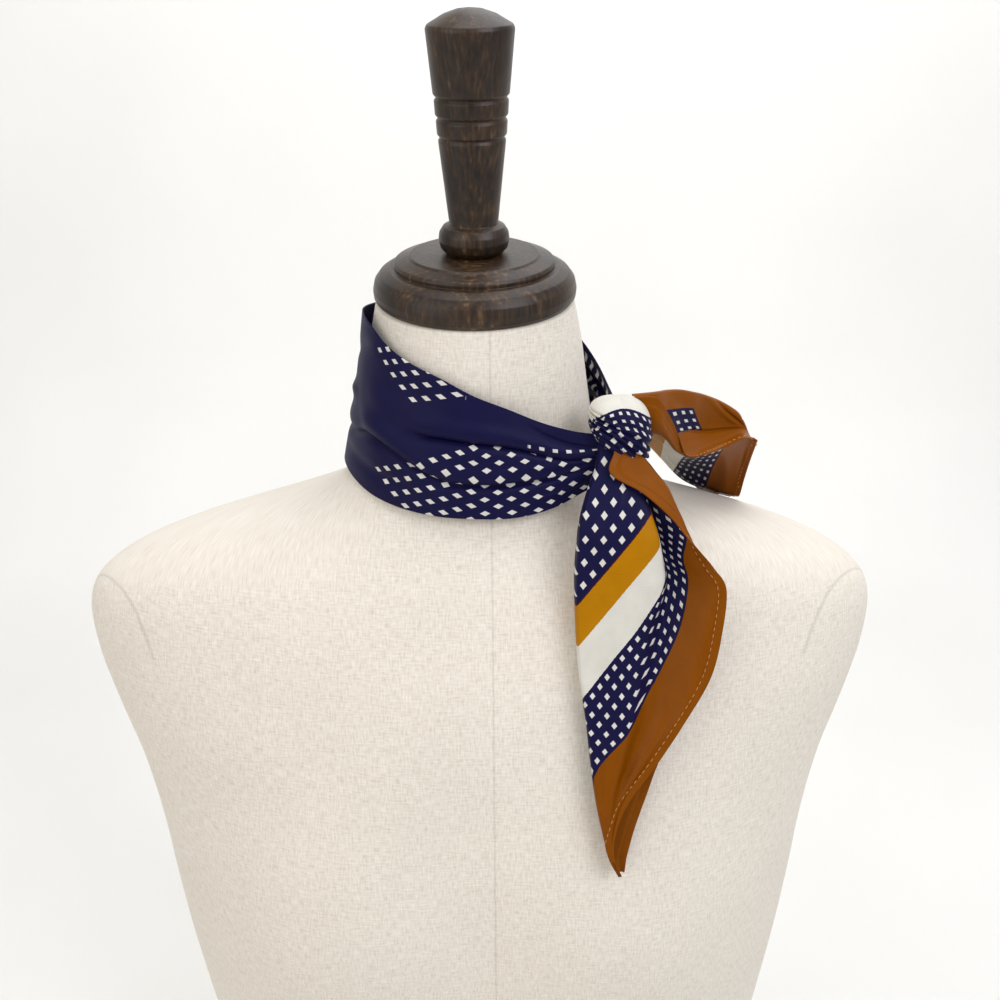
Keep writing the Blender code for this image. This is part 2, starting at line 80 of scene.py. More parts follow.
FORM_ROWS = table(
    "height half_width front back square lean",
    (0, 156, 98, 106, 2.3, 0), (50, 152, 98, 105, 2.3, 0), (110, 145, 93, 96, 2.25, 0),
    (165, 147, 90, 92, 2.2, 0), (220, 156, 91, 94, 2.2, 0), (275, 164, 94, 98, 2.2, 0),
    (320, 169, 97, 104, 2.2, 0), (360, 173, 98, 108, 2.2, 0), (395, 180, 96, 109.1, 2.15, 0),
    (425, 189.5, 92, 109.1, 2.1, 0), (452, 197, 85, 108, 2.05, 0), (475, 198.5, 77, 104, 2, 0),
    (490, 190, 71, 100, 2, 0), (501, 170, 66, 96, 2, 0), (510, 142, 61, 90, 2, 0),
    (519, 109, 56.5, 83.5, 2, 0), (529, 78.5, 52.5, 77, 2, 0), (541, 63, 49.6, 71.5, 2, 0),
    (555, 58, 49.3, 68, 2, 2), (578, 53.8, 48, 61, 2, 5), (600, 50.8, 48.4, 53.6, 2, 8),
    (611, 48.9, 47.8, 49.6, 2, 9), (NECK_TOP - 0.1, 46.4, 46.4, 46.4, 2, NECK_LEAN),
)

# The turned pieces' profiles, from the top down, above the neck's cut.
FINIAL_ROWS = table(
    "radius height",
    (0, 124.4), (5.5, 123.8), (11, 122), (18.2, 118), (18.9, 116.4), (16.6, 90.8), (15.2, 89.4),
    (16.2, 88.2), (15.9, 82.4), (14.6, 81), (15.6, 79.8), (15.3, 74.2), (14, 73), (14.9, 71.6),
    (11.1, 35.4), (14, 34.2), (15.8, 31.4), (16.2, 28.2), (15.4, 24.6), (12.8, 21.9), (0, 21.9),
)
NECK_CAP_ROWS = table(
    "radius height",
    (0, 21.6), (29.6, 21.6), (30.6, 20.7), (36.6, 18.8), (37.4, 17.6), (37, 15.8), (39.6, 15.6),
    (43.8, 13.4), (46.4, 10), (47.3, 6), (47, 2.6), (45.4, 0.5), (44, 0), (0, 0),
)

BAND_ROWS = table(
    "turn top low radius_top radius_middle radius_low",
    (-48, 570, 549, 82, 84, 83), (-40, 571.5, 543, 73, 77, 76), (-30, 575.3, 537, 64, 70, 72),
    (-15, 582.7, 534, 58.5, 66, 70.5), (0, 589, 534, 56.3, 64.5, 69.5), (15, 596.5, 534.5, 55.4, 64, 69),
    (30, 602, 536, 54.8, 63.5, 68.5), (45, 608, 538.5, 54, 62.8, 68), (60, 615, 542, 53.4, 60.2, 67.2),
    (75, 618.5, 545, 53, 59, 66.8), (90, 619, 546, 52.9, 58.6, 66.4), (120, 618, 550, 53.2, 59, 66),
    (150, 618, 554, 54, 61.5, 66), (180, 616, 556, 54.2, 61.5, 66), (210, 611, 556, 54.8, 61.5, 66),
    (240, 601, 555, 56, 62, 66.5), (262, 591, 554, 58.5, 64, 67.5), (280, 583, 554, 63.5, 67.5, 70),
    (292, 577, 555, 71, 74, 75.5), (300, 574, 556, 79, 81, 81.5),
)

# Troughs that run round the band: some turns, the share of its height at each, depth, width and lap.
BAND_FOLDS = table(
    "turns places depth width lap",
    ((33, 10, -20, -50), (0.47, 0.39, 0.325, 0.44), 4, 0.045, 3.2),
    ((108, 72, 45, 8, -44), (0.76, 0.735, 0.6, 0.72, 0.56), 2.4, 0.042, 2.2),
    ((86, 60, 40, 16), (0.9, 0.86, 0.84, 0.88), 0.8, 0.05, 0),
    ((292, 240, 180, 104), (0.42, 0.5, 0.56, 0.64), 2.4, 0.06, 1.6),
    ((296, 250, 200, 120), (0.74, 0.78, 0.82, 0.86), 1.4, 0.055, 0.4),
    ((270, 225, 180, 130), (0.24, 0.27, 0.26, 0.3), 1.4, 0.06, 0.3),
)
BAND_END_FADE, FOLD_END_FADE, FOLD_AT_BAND_END = 14, 16, 0.35
LAP_STAND_OUT, LAP_SWELL_AT, LAP_SWELL_WIDTH, LAP_PULL_AT = 0.45, 1.6, 1.3, 0.9
BAND_RADIUS = 66  # middle of the band, for lengths along it

# Creases, given one by one: each runs from a start to an end, as shares along and across its stretch of
# cloth, bows aside in millimetres, and has a depth (a trough below 0, a ridge above) and a half width.
CREASE = "start end bow depth width"
CREASE_FADE = 0.35
BAND_SIZE = (401, 70)
BAND_CREASES = table(
    CREASE,
    ((0.005, 0.5), (0.115, 0.63), 1.5, -1.3, 2), ((0.005, 0.62), (0.15, 0.76), 2.5, -0.9, 3),
    ((0.003, 0.27), (0.08, 0.06), -1, -1.1, 1.7), ((0.003, 0.37), (0.07, 0.19), -0.8, 0.6, 1.8),
    ((0.01, 0.8), (0.1, 0.9), 1, 0.5, 2.2), ((0.155, 0.2), (0.33, 0.33), 4, -0.9, 6.5),
    ((0.21, 0.46), (0.33, 0.53), -2, 0.8, 4), ((0.29, 0.1), (0.42, 0.36), 2, -0.8, 3.5),
    ((0.33, 0.48), (0.43, 0.57), 1, 1.3, 3.2), ((0.2, 0.8), (0.285, 0.9), 1, -0.5, 2.4),
    ((0.12, 0.66), (0.215, 0.8), -1.5, -0.6, 2), ((0.43, 0.14), (0.6, 0.42), 3, -1, 3),
    ((0.455, 0.3), (0.585, 0.5), 2, 0.8, 3.5), ((0.48, 0.66), (0.7, 0.74), -3, -0.9, 2.6),
    ((0.56, 0.08), (0.74, 0.2), 2, -0.8, 2.4), ((0.62, 0.4), (0.82, 0.34), -2.5, 0.9, 3.4),
    ((0.7, 0.9), (0.86, 0.66), 2, -0.8, 2.2), ((0.79, 0.52), (0.985, 0.46), 1.5, -1.2, 2.2),
    ((0.83, 0.16), (0.99, 0.3), -1.5, -1, 1.9), ((0.85, 0.78), (0.99, 0.64), 1, -0.9, 2),
)

# The band's marks are counted in steps of the field, i and j for the square's two ways, from this many in.
BAND_FIRST_MARK = 40.5
# In front they lie on the bias: their steps along and down, where they start, how they drift to the wearer's
# right, draw in by the knot and step where the cloth turns over, and which of them show.
BIAS_ALONG, BIAS_DOWN, BIAS_LOW, BIAS_SHIFT = 11.5, 6.45, 536.7, 0.34
DRIFT_I, DRIFT_J, PINCH_J, PINCH_FROM = 0.03, 0.04, 0.055, 33
TURN_STEP, TURN_STEP_FROM, TURN_STEP_OVER = 0.2, 548, 4
BIAS_LAST_I, BIAS_LAST_J, BIAS_TURN = 4, -5, 34
# The few under the top edge: where they are, and each way's growth along and down, and its first mark.
FEW_TURN, FEW_SHARE, FEW_ALONG, FEW_DOWN, FEW_SPREAD = 4, 0.42, 32.1, -7.75, 0.0035
FEW_I, FEW_J, FEW_MARKS = (0.1141, 1.078, -4), (-0.0263, 1.098, -10), 5
# Those on the upper fold's lip: from which turn on, which of them show, and their steps along and down.
LIP_TURN, LIP_SHOWN, LIP_ALONG, LIP_STEPS, LIP_DOWN, LIP_SHIFT = -14, -21, 17.5, (2, 0.138, 0.0016), 1.75, 1.9
# Those behind the neck: from which turn, and their steps along and down, each with its shift.
BACK_TURN, BACK_STEP, BACK_DOWN = 200, (7.4, 0.1), (12, 0.4)

KNOT_MIDDLE = (64.5, -45, 572.6)
KNOT_HALF_SIZES = (14.3, 14, 14.2)
KNOT_SQUARE, KNOT_SLANT = 2.6, 0.7
GATHER_LEFT, GATHER_GROW = 0.6, 0.8  # the share of its width that a gather has at its left, and what it gains
# The knot's gathers: how high each lies at its left and right sides, from -1 to 1, its depth and its width.
KNOT_GATHERS = table(
    "left right depth width",
    (0.46, 0.2, 0.9, 0.045), (0.33, -0.14, 1.8, 0.06), (0.2, -0.36, 1.3, 0.045),
    (0.02, -0.6, 1.9, 0.065), (-0.22, -0.82, 1.3, 0.05),
)
KNOT_LINE, KNOT_LINE_DROP = 11.3, 6.4  # height of the cream's lower edge in front, and its fall to the sides
KNOT_ROUND = 13.5  # its radius, for lengths round it
# Its small marks, before the gathers bring up the field: their rows, stretch down, length round and lean.
# Then the field on the slant: where it starts each way, and its stretch.
KNOT_SMALL_ROWS, KNOT_DOWN, KNOT_SMALL_ROUND, KNOT_LEAN = 3, 1.5, 17, 0.4
KNOT_SMALL_FROM, KNOT_FIELD_S, KNOT_FIELD_T = (0.02, 300), (250, 0.67), (350, 1.02)

# The tail's levels. The last five columns are on the flat square: how far in from the hem the turn, valley,
# ridge and side fold lie, and how far along it the turn is.
TAIL_ROWS = table(
    "height sheet hem hem_back turn valley ridge left back fullness "
    "in_turn in_valley in_ridge in_left along_turn",
    (575, 47, 63, -4, 72, 67, 63, 56, 68, 0.35, 24.5, 40, 104, 120, 193),
    (565, 52.5, 61, -4.5, 72, 68, 65, 54.5, 69, 0.35, 24.5, 40, 101, 116, 183),
    (557, 58.5, 59, -4.5, 78, 70, 69, 52.8, 70, 0.4, 24.5, 40, 98, 111, 175),
    (550, 64, 72.5, -5, 84, 74.4, 73.5, 49.5, 72, 0.5, 24.5, 39.5, 88, 106, 168),
    (541, 69.5, 84, -5, 88, 76.9, 76, 46.5, 76, 0.75, 24.5, 39, 78, 100, 159),
    (533, 73, 91, -4.5, 91.6, 79.4, 78.5, 44.8, 79, 0.95, 24, 38.5, 68, 93.5, 151),
    (526, 74.5, 97, -3.5, 95, 81.4, 80, 44.2, 81.5, 1, 20, 38, 63, 89, 144),
    (518, 76, 103.5, -1.5, 99.5, 84, 81, 43.5, 84.5, 1, 13, 36.5, 55.7, 85, 136),
    (508, 78, 109.5, 0.5, 104.5, 86.5, 81, 43.3, 86, 1, 10.5, 35, 48, 81, 126),
    (490, 82.5, 108, 0, 101, 84, 74, 43.7, 89, 0.85, 11.5, 33, 44.4, 69.4, 109.7),
    (470, 88, 103, 0, 96, 80, 70, 45, 92, 0.65, 8.2, 26.2, 35, 57, 92),
    (450, 94, 91, 0, 86.5, 75, 67, 48, 92.5, 0.5, 5, 18, 26.5, 41.6, 68.2),
    (432, 99.5, 78.5, 0, 74.5, 68, 62.5, 50, 82, 0.45, 3.6, 10.5, 17, 29.2, 47.4),
    (415, 103.5, 66.3, 0, 64.4, 61.4, 59, 52.3, 75.5, 0.4, 2.7, 7.4, 11.5, 22.5, 32.6),
    (400, 106, 61, 0, 60.2, 59.2, 58.3, 55.4, 70.5, 0.35, 1.6, 3.4, 5, 13, 19.2),
    (389, 108, 60.9, 0, 60.4, 59.9, 59.6, 58.6, 67.4, 0.25, 1, 2, 3, 6, 12),
    (381, 109.2, 64.2, 0, 63.9, 63.6, 63.4, 62.8, 65.6, 0.15, 0.7, 1.4, 2, 3.5, 7.5),
)
TAIL_VALLEY, TAIL_CROWN, TAIL_BACK = 10, 3, 10.5
TAIL_LAYER_GAP, TAIL_GAP_SHARE = 2.4, 0.35
TAIL_TURN_ROUND, TAIL_TURN_BEVEL = 2.6, 0.29
TAIL_RIDGE_RISE, TAIL_BACK_BOW = 0.5, 0.6
TAIL_RIDGE_SHARE, TAIL_VALLEY_SHARE, TAIL_TURN_SHARE = 0.05, 0.045, 0.6
TAIL_LINES = (1, 2, 3, 7)  # which points of its section are the turn, the valley, the ridge and the side fold
# On the tail's face both lengths on the square run evenly: each at one place, and its growth across and up.
# From the first length of the blend, over the second, the face follows FACE_S.
FACE_FROM, FACE_S, FACE_T = (43.3, 508), (79.2, -0.768, 0.626), (79.9, 0.733, 0.564)
FIELD_BLEND = (46, 8)
FLAP_ALONG, BACK_ALONG = 0.75, 0.9  # lengths of the square for each on the flap and the back layer
VALLEY_HIDDEN_ABOVE = 520
TAIL_SIZE = (205, 110)
TAIL_CREASES = table(
    CREASE,
    ((0.13, 0.115), (0.4, 0.11), 1.5, -0.5, 3), ((0.1, 0.585), (0.47, 0.64), -3, -0.8, 4.2),
    ((0.2, 0.47), (0.66, 0.54), 3, 0.6, 5.5), ((0.1, 0.52), (0.26, 0.56), 1, 0.5, 2.2),
    ((0.52, 0.6), (0.88, 0.655), 2, -0.5, 4), ((0.45, 0.095), (0.72, 0.085), 1.5, -0.6, 2.2),
    ((0.6, 0.19), (0.93, 0.23), 2, -0.7, 3), ((0.06, 0.8), (0.62, 0.87), 4, -1.1, 5),
    ((0.22, 0.93), (0.8, 0.88), -3, 0.8, 4.5), ((0.5, 0.79), (0.93, 0.83), 1.5, -0.6, 3),
)

HOOD_ROWS = table(
    "lip foot crease ridge low",
    ((70, -44, 586), (71, -43, 570), (72, -38, 569), (71, -34, 584), (73, -26, 562)),
    ((80, -45, 586), (80, -44.5, 572), (82, -38, 568), (81, -30, 584), (82, -6, 562)),
    ((86.5, -40, 577.5), (86, -39.5, 566), (90, -30, 564), (89.5, -18, 582), (90, 20, 557)),
    ((92, -35, 567), (92.5, -31.8, 557.5), (97, -17, 561.5), (97, -10, 580), (97, 44, 546)),
    ((97.2, -31.4, 554.8), (100.7, -25.2, 552.4), (104, -8, 560), (104.5, -3, 577), (103, 60, 533)),
    ((109, -20, 551.5), (110, -16, 551.6), (113, 3, 556.5), (111.5, 5, 573.5), (110, 72, 520)),
    ((120, -6, 550.3), (121, -2, 550.6), (125, 11, 555), (121.5, 13, 568), (118, 78, 508)),
    ((132.6, 1, 553), (133, 5, 552.8), (134.5, 15, 553.8), (131.5, 17, 561), (128, 78, 496)),
    ((139, 6, 547.6), (139, 10, 547.4), (138, 17, 548), (136, 22, 553), (134, 74, 488)),
)
RIDGE_ROUNDING = 2.2
FORM_CLEARANCE, RESTING_BEND = 1.8, 3
# The navy corner inside the hood: its right edge at the crease and how far that leans, its top as a share up
# the wall, and the print's scale across and up.
CORNER_RIGHT, CORNER_LEAN, CORNER_TOP, CORNER_ACROSS, CORNER_UP = 111, 11, 0.62, 0.95, 23
BORDER_ONLY, BORDER_ALONG = 21, 140  # the rest of the inside: no further in than this, and how far along
HOOD_SIZE = (80, 85)
HOOD_CREASES = table(
    CREASE,
    ((0.3, 0.312), (0.97, 0.318), 0.5, -1.2, 0.9), ((0.7, 0.56), (0.93, 0.335), 1, -1, 1.1),
    ((0.64, 0.56), (0.86, 0.335), 1, 0.7, 1.9), ((0.4, 0.17), (0.92, 0.25), 1, -0.6, 2.5),
    ((0.08, 0.09), (0.46, 0.105), -1, -0.6, 2), ((0.22, 0.48), (0.52, 0.42), 1.5, 0.5, 2.2),
    ((0.18, 0.64), (0.48, 0.96), 2.5, -1.2, 3.6), ((0.36, 0.63), (0.66, 0.94), -2, 0.9, 3.8),
    ((0.6, 0.65), (0.86, 0.93), 1, -0.9, 2.8), ((0.03, 0.68), (0.24, 0.96), 1, -0.9, 2.4),
)

# hem is how far each row lies from the hem at the fall's end, in the flat square.
FALL_ROWS = table(
    "top low bow hem",
    ((77, -32, 568.5), (81, 4, 551), 0, 80), ((83, -31, 567), (87, 16, 545), 0, 73.5),
    ((88.5, -28, 562), (96, 32, 533), 0.5, 62), ((94.5, -23.5, 554.8), (101, 41, 526), 1, 53.5),
    ((103, -18.5, 550.2), (108, 49, 517), 2, 44), ((113, -10, 549.6), (117, 57, 506), 3, 33),
    ((124, 0, 550.3), (127, 60, 494), 4, 20), ((134.5, 8, 551.8), (136, 56, 485), 4, 7),
    ((140.6, 11.5, 548.6), (140, 52, 482), 4, 0),
)
FALL_BOW_WAY = Vector((0, 0.4, 0.9))
FALL_START, FALL_ALONG = 148.5, 38  # how far along the hem its top lies on the square, and its length down
FALL_SIZE = (66, 70)
FALL_CREASES = table(
    CREASE,
    ((0.12, 0.06), (0.46, 0.66), 2, -0.8, 2.8), ((0.44, 0.04), (0.66, 0.78), -2, 0.7, 3.4),
    ((0.72, 0.08), (0.84, 0.88), 1.5, -0.8, 2.4), ((0.88, 0.05), (0.92, 0.6), 0.5, 0.5, 1.8),
    ((0.28, 0.55), (0.6, 0.97), 1.5, -0.8, 3),
)


# -------- curves and tables
def curve_through(knots, values, at):
    """A smooth curve through the values, flat at both ends, read at one place."""
    last = len(knots) - 1
    rising = knots[-1] > knots[0]
    if (at <= knots[0]) == rising:
        return values[0]
    if (at >= knots[-1]) == rising:
        return values[-1]
    i = next(k for k in range(last) if (at < knots[k + 1]) == rising)

    def slope(k):
        low, high = max(k - 1, 0), min(k + 1, last)
        return (values[high] - values[low]) / (knots[high] - knots[low])

    span = knots[i + 1] - knots[i]
    t = (at - knots[i]) / span
    start, end = slope(i) * span, slope(i + 1) * span
    return (
        (2 * t**3 - 3 * t**2 + 1) * values[i]
        + (t**3 - 2 * t**2 + t) * start
        + (3 * t**2 - 2 * t**3) * values[i + 1]
        + (t**3 - t**2) * end
    )


def row_at(rows, share):
    """The table's row at a share of its length, with every column interpolated, places too."""
    knots, at = range(len(rows)), share * (len(rows) - 1)

    def read(values):
        if isinstance(values[0], tuple):
            return tuple(map(read, zip(*values)))
        return curve_through(knots, values, at)

    return type(rows[0])(*map(read, zip(*rows)))


def row_by_key(rows, at):
    """The table's row where its first column has this value."""
    keys, *columns = zip(*rows)
    return type(rows[0])(at, *(curve_through(keys, column, at) for column in columns))


def signed_power(value, power):
    return copysign(abs(value) ** power, value)


def smooth_step(value):
    t = min(max(value, 0.0), 1.0)
    return t * t * (3 - 2 * t)


def fade_between(start, end, fade, at):
    """1 between two places, eased to 0 at each of them over so much."""
    return smooth_step((at - start) / fade) * smooth_step((end - at) / fade)


def bell(distance, width):
    return exp(-((distance / width) ** 2))


def lengths_along(points):
    """How far along a line of points each of them lies."""
    reached = [0.0]
    for start, end in zip(points, points[1:]):
        reached.append(reached[-1] + (Vector(end) - Vector(start)).length)
    return reached


def section_spot(points, share, cells):
    """A spot across a section with set cells a stretch: its place, its length round and each point's."""
    reached = lengths_along(points)
    cell = share * sum(cells)
    k = 0
    while k < len(cells) - 1 and cell > cells[k]:
        cell -= cells[k]
        k += 1
    at = reached[k] + (reached[k + 1] - reached[k]) * cell / cells[k]
    place = Vector(curve_through(reached, [p[c] for p in points], at) for c in range(3))
    return place, at, reached


def share_round(points, cells, at):
    """The share across a section where this length round it is reached, from its far end if it is below 0."""
    reached = lengths_along(points)
    if at < 0:
        at += reached[-1]
    last = len(cells) - 1
    k = next(n for n in range(last + 1) if at <= reached[n + 1] or n == last)
    return (sum(cells[:k]) + cells[k] * (at - reached[k]) / (reached[k + 1] - reached[k])) / sum(cells)


def crease_lift(creases, size, along, across):
    """How far the creases lift a spot of a stretch of cloth, given the stretch's length and width."""
    lift = 0.0
    for crease in creases:
        run = [(end - start) * side for start, end, side in zip(crease.start, crease.end, size)]
        off = [(at - start) * side for start, at, side in zip(crease.start, (along, across), size)]
        length = hypot(*run)
        share = (off[0] * run[0] + off[1] * run[1]) / length**2
        if not 0 < share < 1:
            continue
        aside = (off[0] * run[1] - off[1] * run[0]) / length - crease.bow * 4 * share * (1 - share)
        lift += crease.depth * fade_between(0, 1, CREASE_FADE, share) * bell(aside, crease.width)
    return lift


def hem_lift(from_hem):
    """How far the doubled hem stands up, this far in from the edge."""
    return HEM_RISE * smooth_step((HEM_FOLD - from_hem) / HEM_EDGE + 0.5)


# -------- materials
def colour(code):
    """A linear colour from an sRGB hex code."""
    parts = [int(code[i : i + 2], 16) / 255 for i in (1, 3, 5)]
    return (*(c / 12.92 if c <= 0.04045 else ((c + 0.055) / 1.055) ** 2.4 for c in parts), 1)


def add_node(tree, kind, links=None, **settings):
    """Adds a shader node: its settings by name, and its sockets by name or number.

    A socket takes a value, another node's output, or a node, which gives its first output.
    """
    made = tree.nodes.new("ShaderNode" + kind)
    for name, value in settings.items():
        setattr(made, name, value)
    for socket, value in (links or {}).items():
        if isinstance(value, bpy.types.Node):
            value = value.outputs[0]
        if isinstance(value, bpy.types.NodeSocket):
            tree.links.new(value, made.inputs[socket])
        else:
            made.inputs[socket].default_value = value
    return made


def new_material(name):
    """An empty material, and add_node for its tree."""
    made = bpy.data.materials.new(name)
    made.use_nodes = True
    made.node_tree.nodes.clear()
    return made, partial(add_node, made.node_tree)


def set_surface(add, sockets):
    """Gives a material its shader, whose sockets are set as in add_node."""
    add("OutputMaterial", {"Surface": add("BsdfPrincipled", sockets)})


def set_stops(ramp, stops, span=1.0, interpolation="LINEAR"):
    """Gives a colour ramp its stops, as colours by their place along a span."""
    ramp.color_ramp.interpolation = interpolation
    elements = ramp.color_ramp.elements
    while len(elements) > 1:
        elements.remove(elements[-1])
    (first, shade), *others = stops.items()
    elements[0].position, elements[0].color = first / span, shade
    for place, shade in others:
        elements.new(place / span).color = shade


NAVY, CREAM, OCHRE = colour("#141238"), colour("#cecbc1"), colour("#a97000")
CARAMEL, RED_LINE, MARK = colour("#7c4200"), colour("#4f1216"), colour("#cfccc6")
NONE, WHOLE = (0, 0, 0, 1), (1, 1, 1, 1)
PRINT_SPAN = 100  # millimetres from the hem over which the ramps run
MARK_HALF, MARK_EDGE = 0.19, 0.015  # half a mark's side and half its soft edge, as shares of its cell


def printed_silk(name):
    """Silk twill, screen-printed and soft: a low sheen and fine slanting ribs. The border shines more."""
    made, add = new_material(name)
    uv = add("UVMap", uv_map="print")
    place = add("VectorMath", {0: uv, "Scale": SQUARE}, operation="SCALE")
    split = add("SeparateXYZ", {0: place})
    hem = add("Math", {0: split.outputs[0], 1: split.outputs[1]}, operation="MINIMUM")
    # the ink bleeds a little along the threads
    bleed = add("TexNoise", {"Vector": place, "Scale": 1.1})
    waver = add("Math", {0: bleed, 1: 0.5, 2: hem}, operation="MULTIPLY_ADD")
    even = add("Math", {0: waver, 1: -0.25}, operation="ADD")
    share = add("Math", {0: even, 1: 1 / PRINT_SPAN}, operation="MULTIPLY")
    stripes, marked = add("ValToRGB", {0: share}), add("ValToRGB", {0: share})
    bands = {0: CARAMEL, BORDER_END: NAVY, CREAM_START: CREAM, CREAM_END: OCHRE}
    set_stops(stripes, {**bands, OCHRE_END: RED_LINE, LINE_END: NAVY}, PRINT_SPAN, "CONSTANT")
    small_end = SMALL_START + SMALL_ROWS * SMALL_PITCH
    rows = {0: NONE, SMALL_START: WHOLE, small_end: NONE, FIELD_START: WHOLE}
    set_stops(marked, rows, PRINT_SPAN, "CONSTANT")
    # each kind of mark has its own grid, and a mark fills the middle of its cell
    far = add("Math", {0: hem, 1: CREAM_END}, operation="GREATER_THAN")
    grids = []
    for pitch, start in ((SMALL_PITCH, SMALL_START), (FIELD_PITCH, FIELD_START)):
        links = {0: place, 1: (1 / pitch,) * 3, 2: (-start / pitch,) * 3}
        grids.append(add("VectorMath", links, operation="MULTIPLY_ADD"))
    grid = add("Mix", {0: far, 4: grids[0], 5: grids[1]}, data_type="VECTOR")
    cell = add("VectorMath", {0: grid.outputs[1]}, operation="FRACTION")
    centred = add("VectorMath", {0: cell, 1: (0.5, 0.5, 0.5)}, operation="SUBTRACT")
    sides = add("SeparateXYZ", {0: add("VectorMath", {0: centred}, operation="ABSOLUTE")})
    widest = add("Math", {0: sides.outputs[0], 1: sides.outputs[1]}, operation="MAXIMUM")
    inside = add("MapRange", {0: widest, 1: MARK_HALF - MARK_EDGE, 2: MARK_HALF + MARK_EDGE, 3: 1.0, 4: 0.0})
    shown = add("Attribute", attribute_name="marks")
    here = add("Math", {0: inside, 1: marked}, operation="MULTIPLY")
    mask = add("Math", {0: here, 1: shown.outputs["Fac"]}, operation="MULTIPLY")
    inked = add("Mix", {0: mask, 6: stripes, 7: MARK}, data_type="RGBA")
    # ribs of the twill, 0.6 mm apart, coarser than real ones so that they show
    links = {"Vector": place, "Scale": 0.72, "Distortion": 0.5, "Detail": 1.0}
    ribs = add("TexWave", links, bands_direction="DIAGONAL")
    slub = add("TexNoise", {"Vector": place, "Scale": 0.09, "Detail": 3.0})
    tone = add("MapRange", {0: ribs.outputs["Fac"], 3: 0.96, 4: 1.03})
    drift = add("MapRange", {0: slub, 1: 0.3, 2: 0.7, 3: 0.94, 4: 1.06})
    both = add("Math", {0: tone, 1: drift}, operation="MULTIPLY")
    dyed = add("VectorMath", {0: inked.outputs[2], "Scale": both}, operation="SCALE")
    satin = add("Math", {0: hem, 1: BORDER_END}, operation="LESS_THAN")
    rough = add("MapRange", {0: satin, 3: 0.46, 4: 0.36})
    bump = add("Bump", {"Height": ribs.outputs["Fac"], "Strength": 0.25, "Distance": 0.0001})
    look = {"Base Color": dyed, "Roughness": rough, "Normal": bump}
    set_surface(add, {**look, "IOR": 1.5, "Specular IOR Level": 0.08})
    return made


# The cover's seams, in metres: the front one, by its length round from the middle, and the shoulder caps',
# by a plane that leans to each side and the height above which they show.
FRONT_SEAM, SEAM_HALF, SEAM_SHADE = 0.007, 0.00045, 0.86
CAP_SEAM, CAP_SEAM_WAY, CAP_SEAM_LOW = 0.1505, (0.755, -0.653), 0.462


def linen_cover(name):
    """Unbleached linen, plain-woven, stretched over padding: matt, with fine slubs and narrow sewn seams."""
    made, add = new_material(name)
    uv = add("UVMap", uv_map="weave")
    place = add("VectorMath", {0: uv, "Scale": 1 / MM}, operation="SCALE")
    # threads 0.7 mm apart, a little coarser than real ones so that they show
    threads = []
    for stretch in ((1.3, 0.22, 1.0), (0.2, 1.25, 1.0)):
        laid = add("VectorMath", {0: place, 1: stretch}, operation="MULTIPLY")
        threads.append(add("TexNoise", {"Vector": laid, "Scale": 1.0, "Detail": 1.5}))
    steep = add("Attribute", attribute_name="steep")
    cross = add("Mix", {0: steep.outputs["Fac"], 2: 0.5, 3: threads[1]}, data_type="FLOAT")
    weft = add("Math", {0: threads[0], 1: 1.2, 2: cross}, operation="MULTIPLY_ADD")
    shade = add("ValToRGB", {0: add("MapRange", {0: weft, 1: 0.7, 2: 1.5})})
    set_stops(shade, {0: colour("#cec5b6"), 0.45: colour("#dcd4c7"), 1: colour("#e8e1d6")})
    blotch = add("TexNoise", {"Vector": place, "Scale": 0.02})
    drift = add("MapRange", {0: blotch, 1: 0.3, 2: 0.7, 3: 0.975, 4: 1.015})
    front = add("Math", {0: add("SeparateXYZ", {0: uv}), 1: FRONT_SEAM}, operation="SUBTRACT")
    coords = add("TexCoord")
    spot = add("SeparateXYZ", {0: coords.outputs["Object"]})
    aside = add("Math", {0: spot}, operation="ABSOLUTE")
    leaned = add("Math", {0: aside, 1: CAP_SEAM_WAY[0], 2: -CAP_SEAM}, operation="MULTIPLY_ADD")
    cap = add("Math", {0: spot.outputs[1], 1: CAP_SEAM_WAY[1], 2: leaned}, operation="MULTIPLY_ADD")
    low = add("Math", {0: spot.outputs[2], 1: CAP_SEAM_LOW}, operation="LESS_THAN")
    held = add("Math", {0: low, 1: cap}, operation="ADD")
    gaps = [add("Math", {0: line}, operation="ABSOLUTE") for line in (front, held)]
    nearest = add("Math", {0: gaps[0], 1: gaps[1]}, operation="MINIMUM")
    seam = add("MapRange", {0: nearest, 1: SEAM_HALF * 0.4, 2: SEAM_HALF * 1.6, 3: SEAM_SHADE})
    both = add("Math", {0: drift, 1: seam}, operation="MULTIPLY")
    cloth = add("VectorMath", {0: shade, "Scale": both}, operation="SCALE")
    sunk = add("Math", {0: seam, 1: 6.0, 2: weft}, operation="MULTIPLY_ADD")
    bump = add("Bump", {"Height": sunk, "Strength": 0.25, "Distance": 0.0003})
    look = {"Base Color": cloth, "Normal": bump, "Roughness": 0.92}
    set_surface(add, {**look, "Specular IOR Level": 0.3, "Sheen Weight": 0.1})
    return made


BLOCK_EDGE = 0.012  # metres over which a glued-up piece of wood lightens


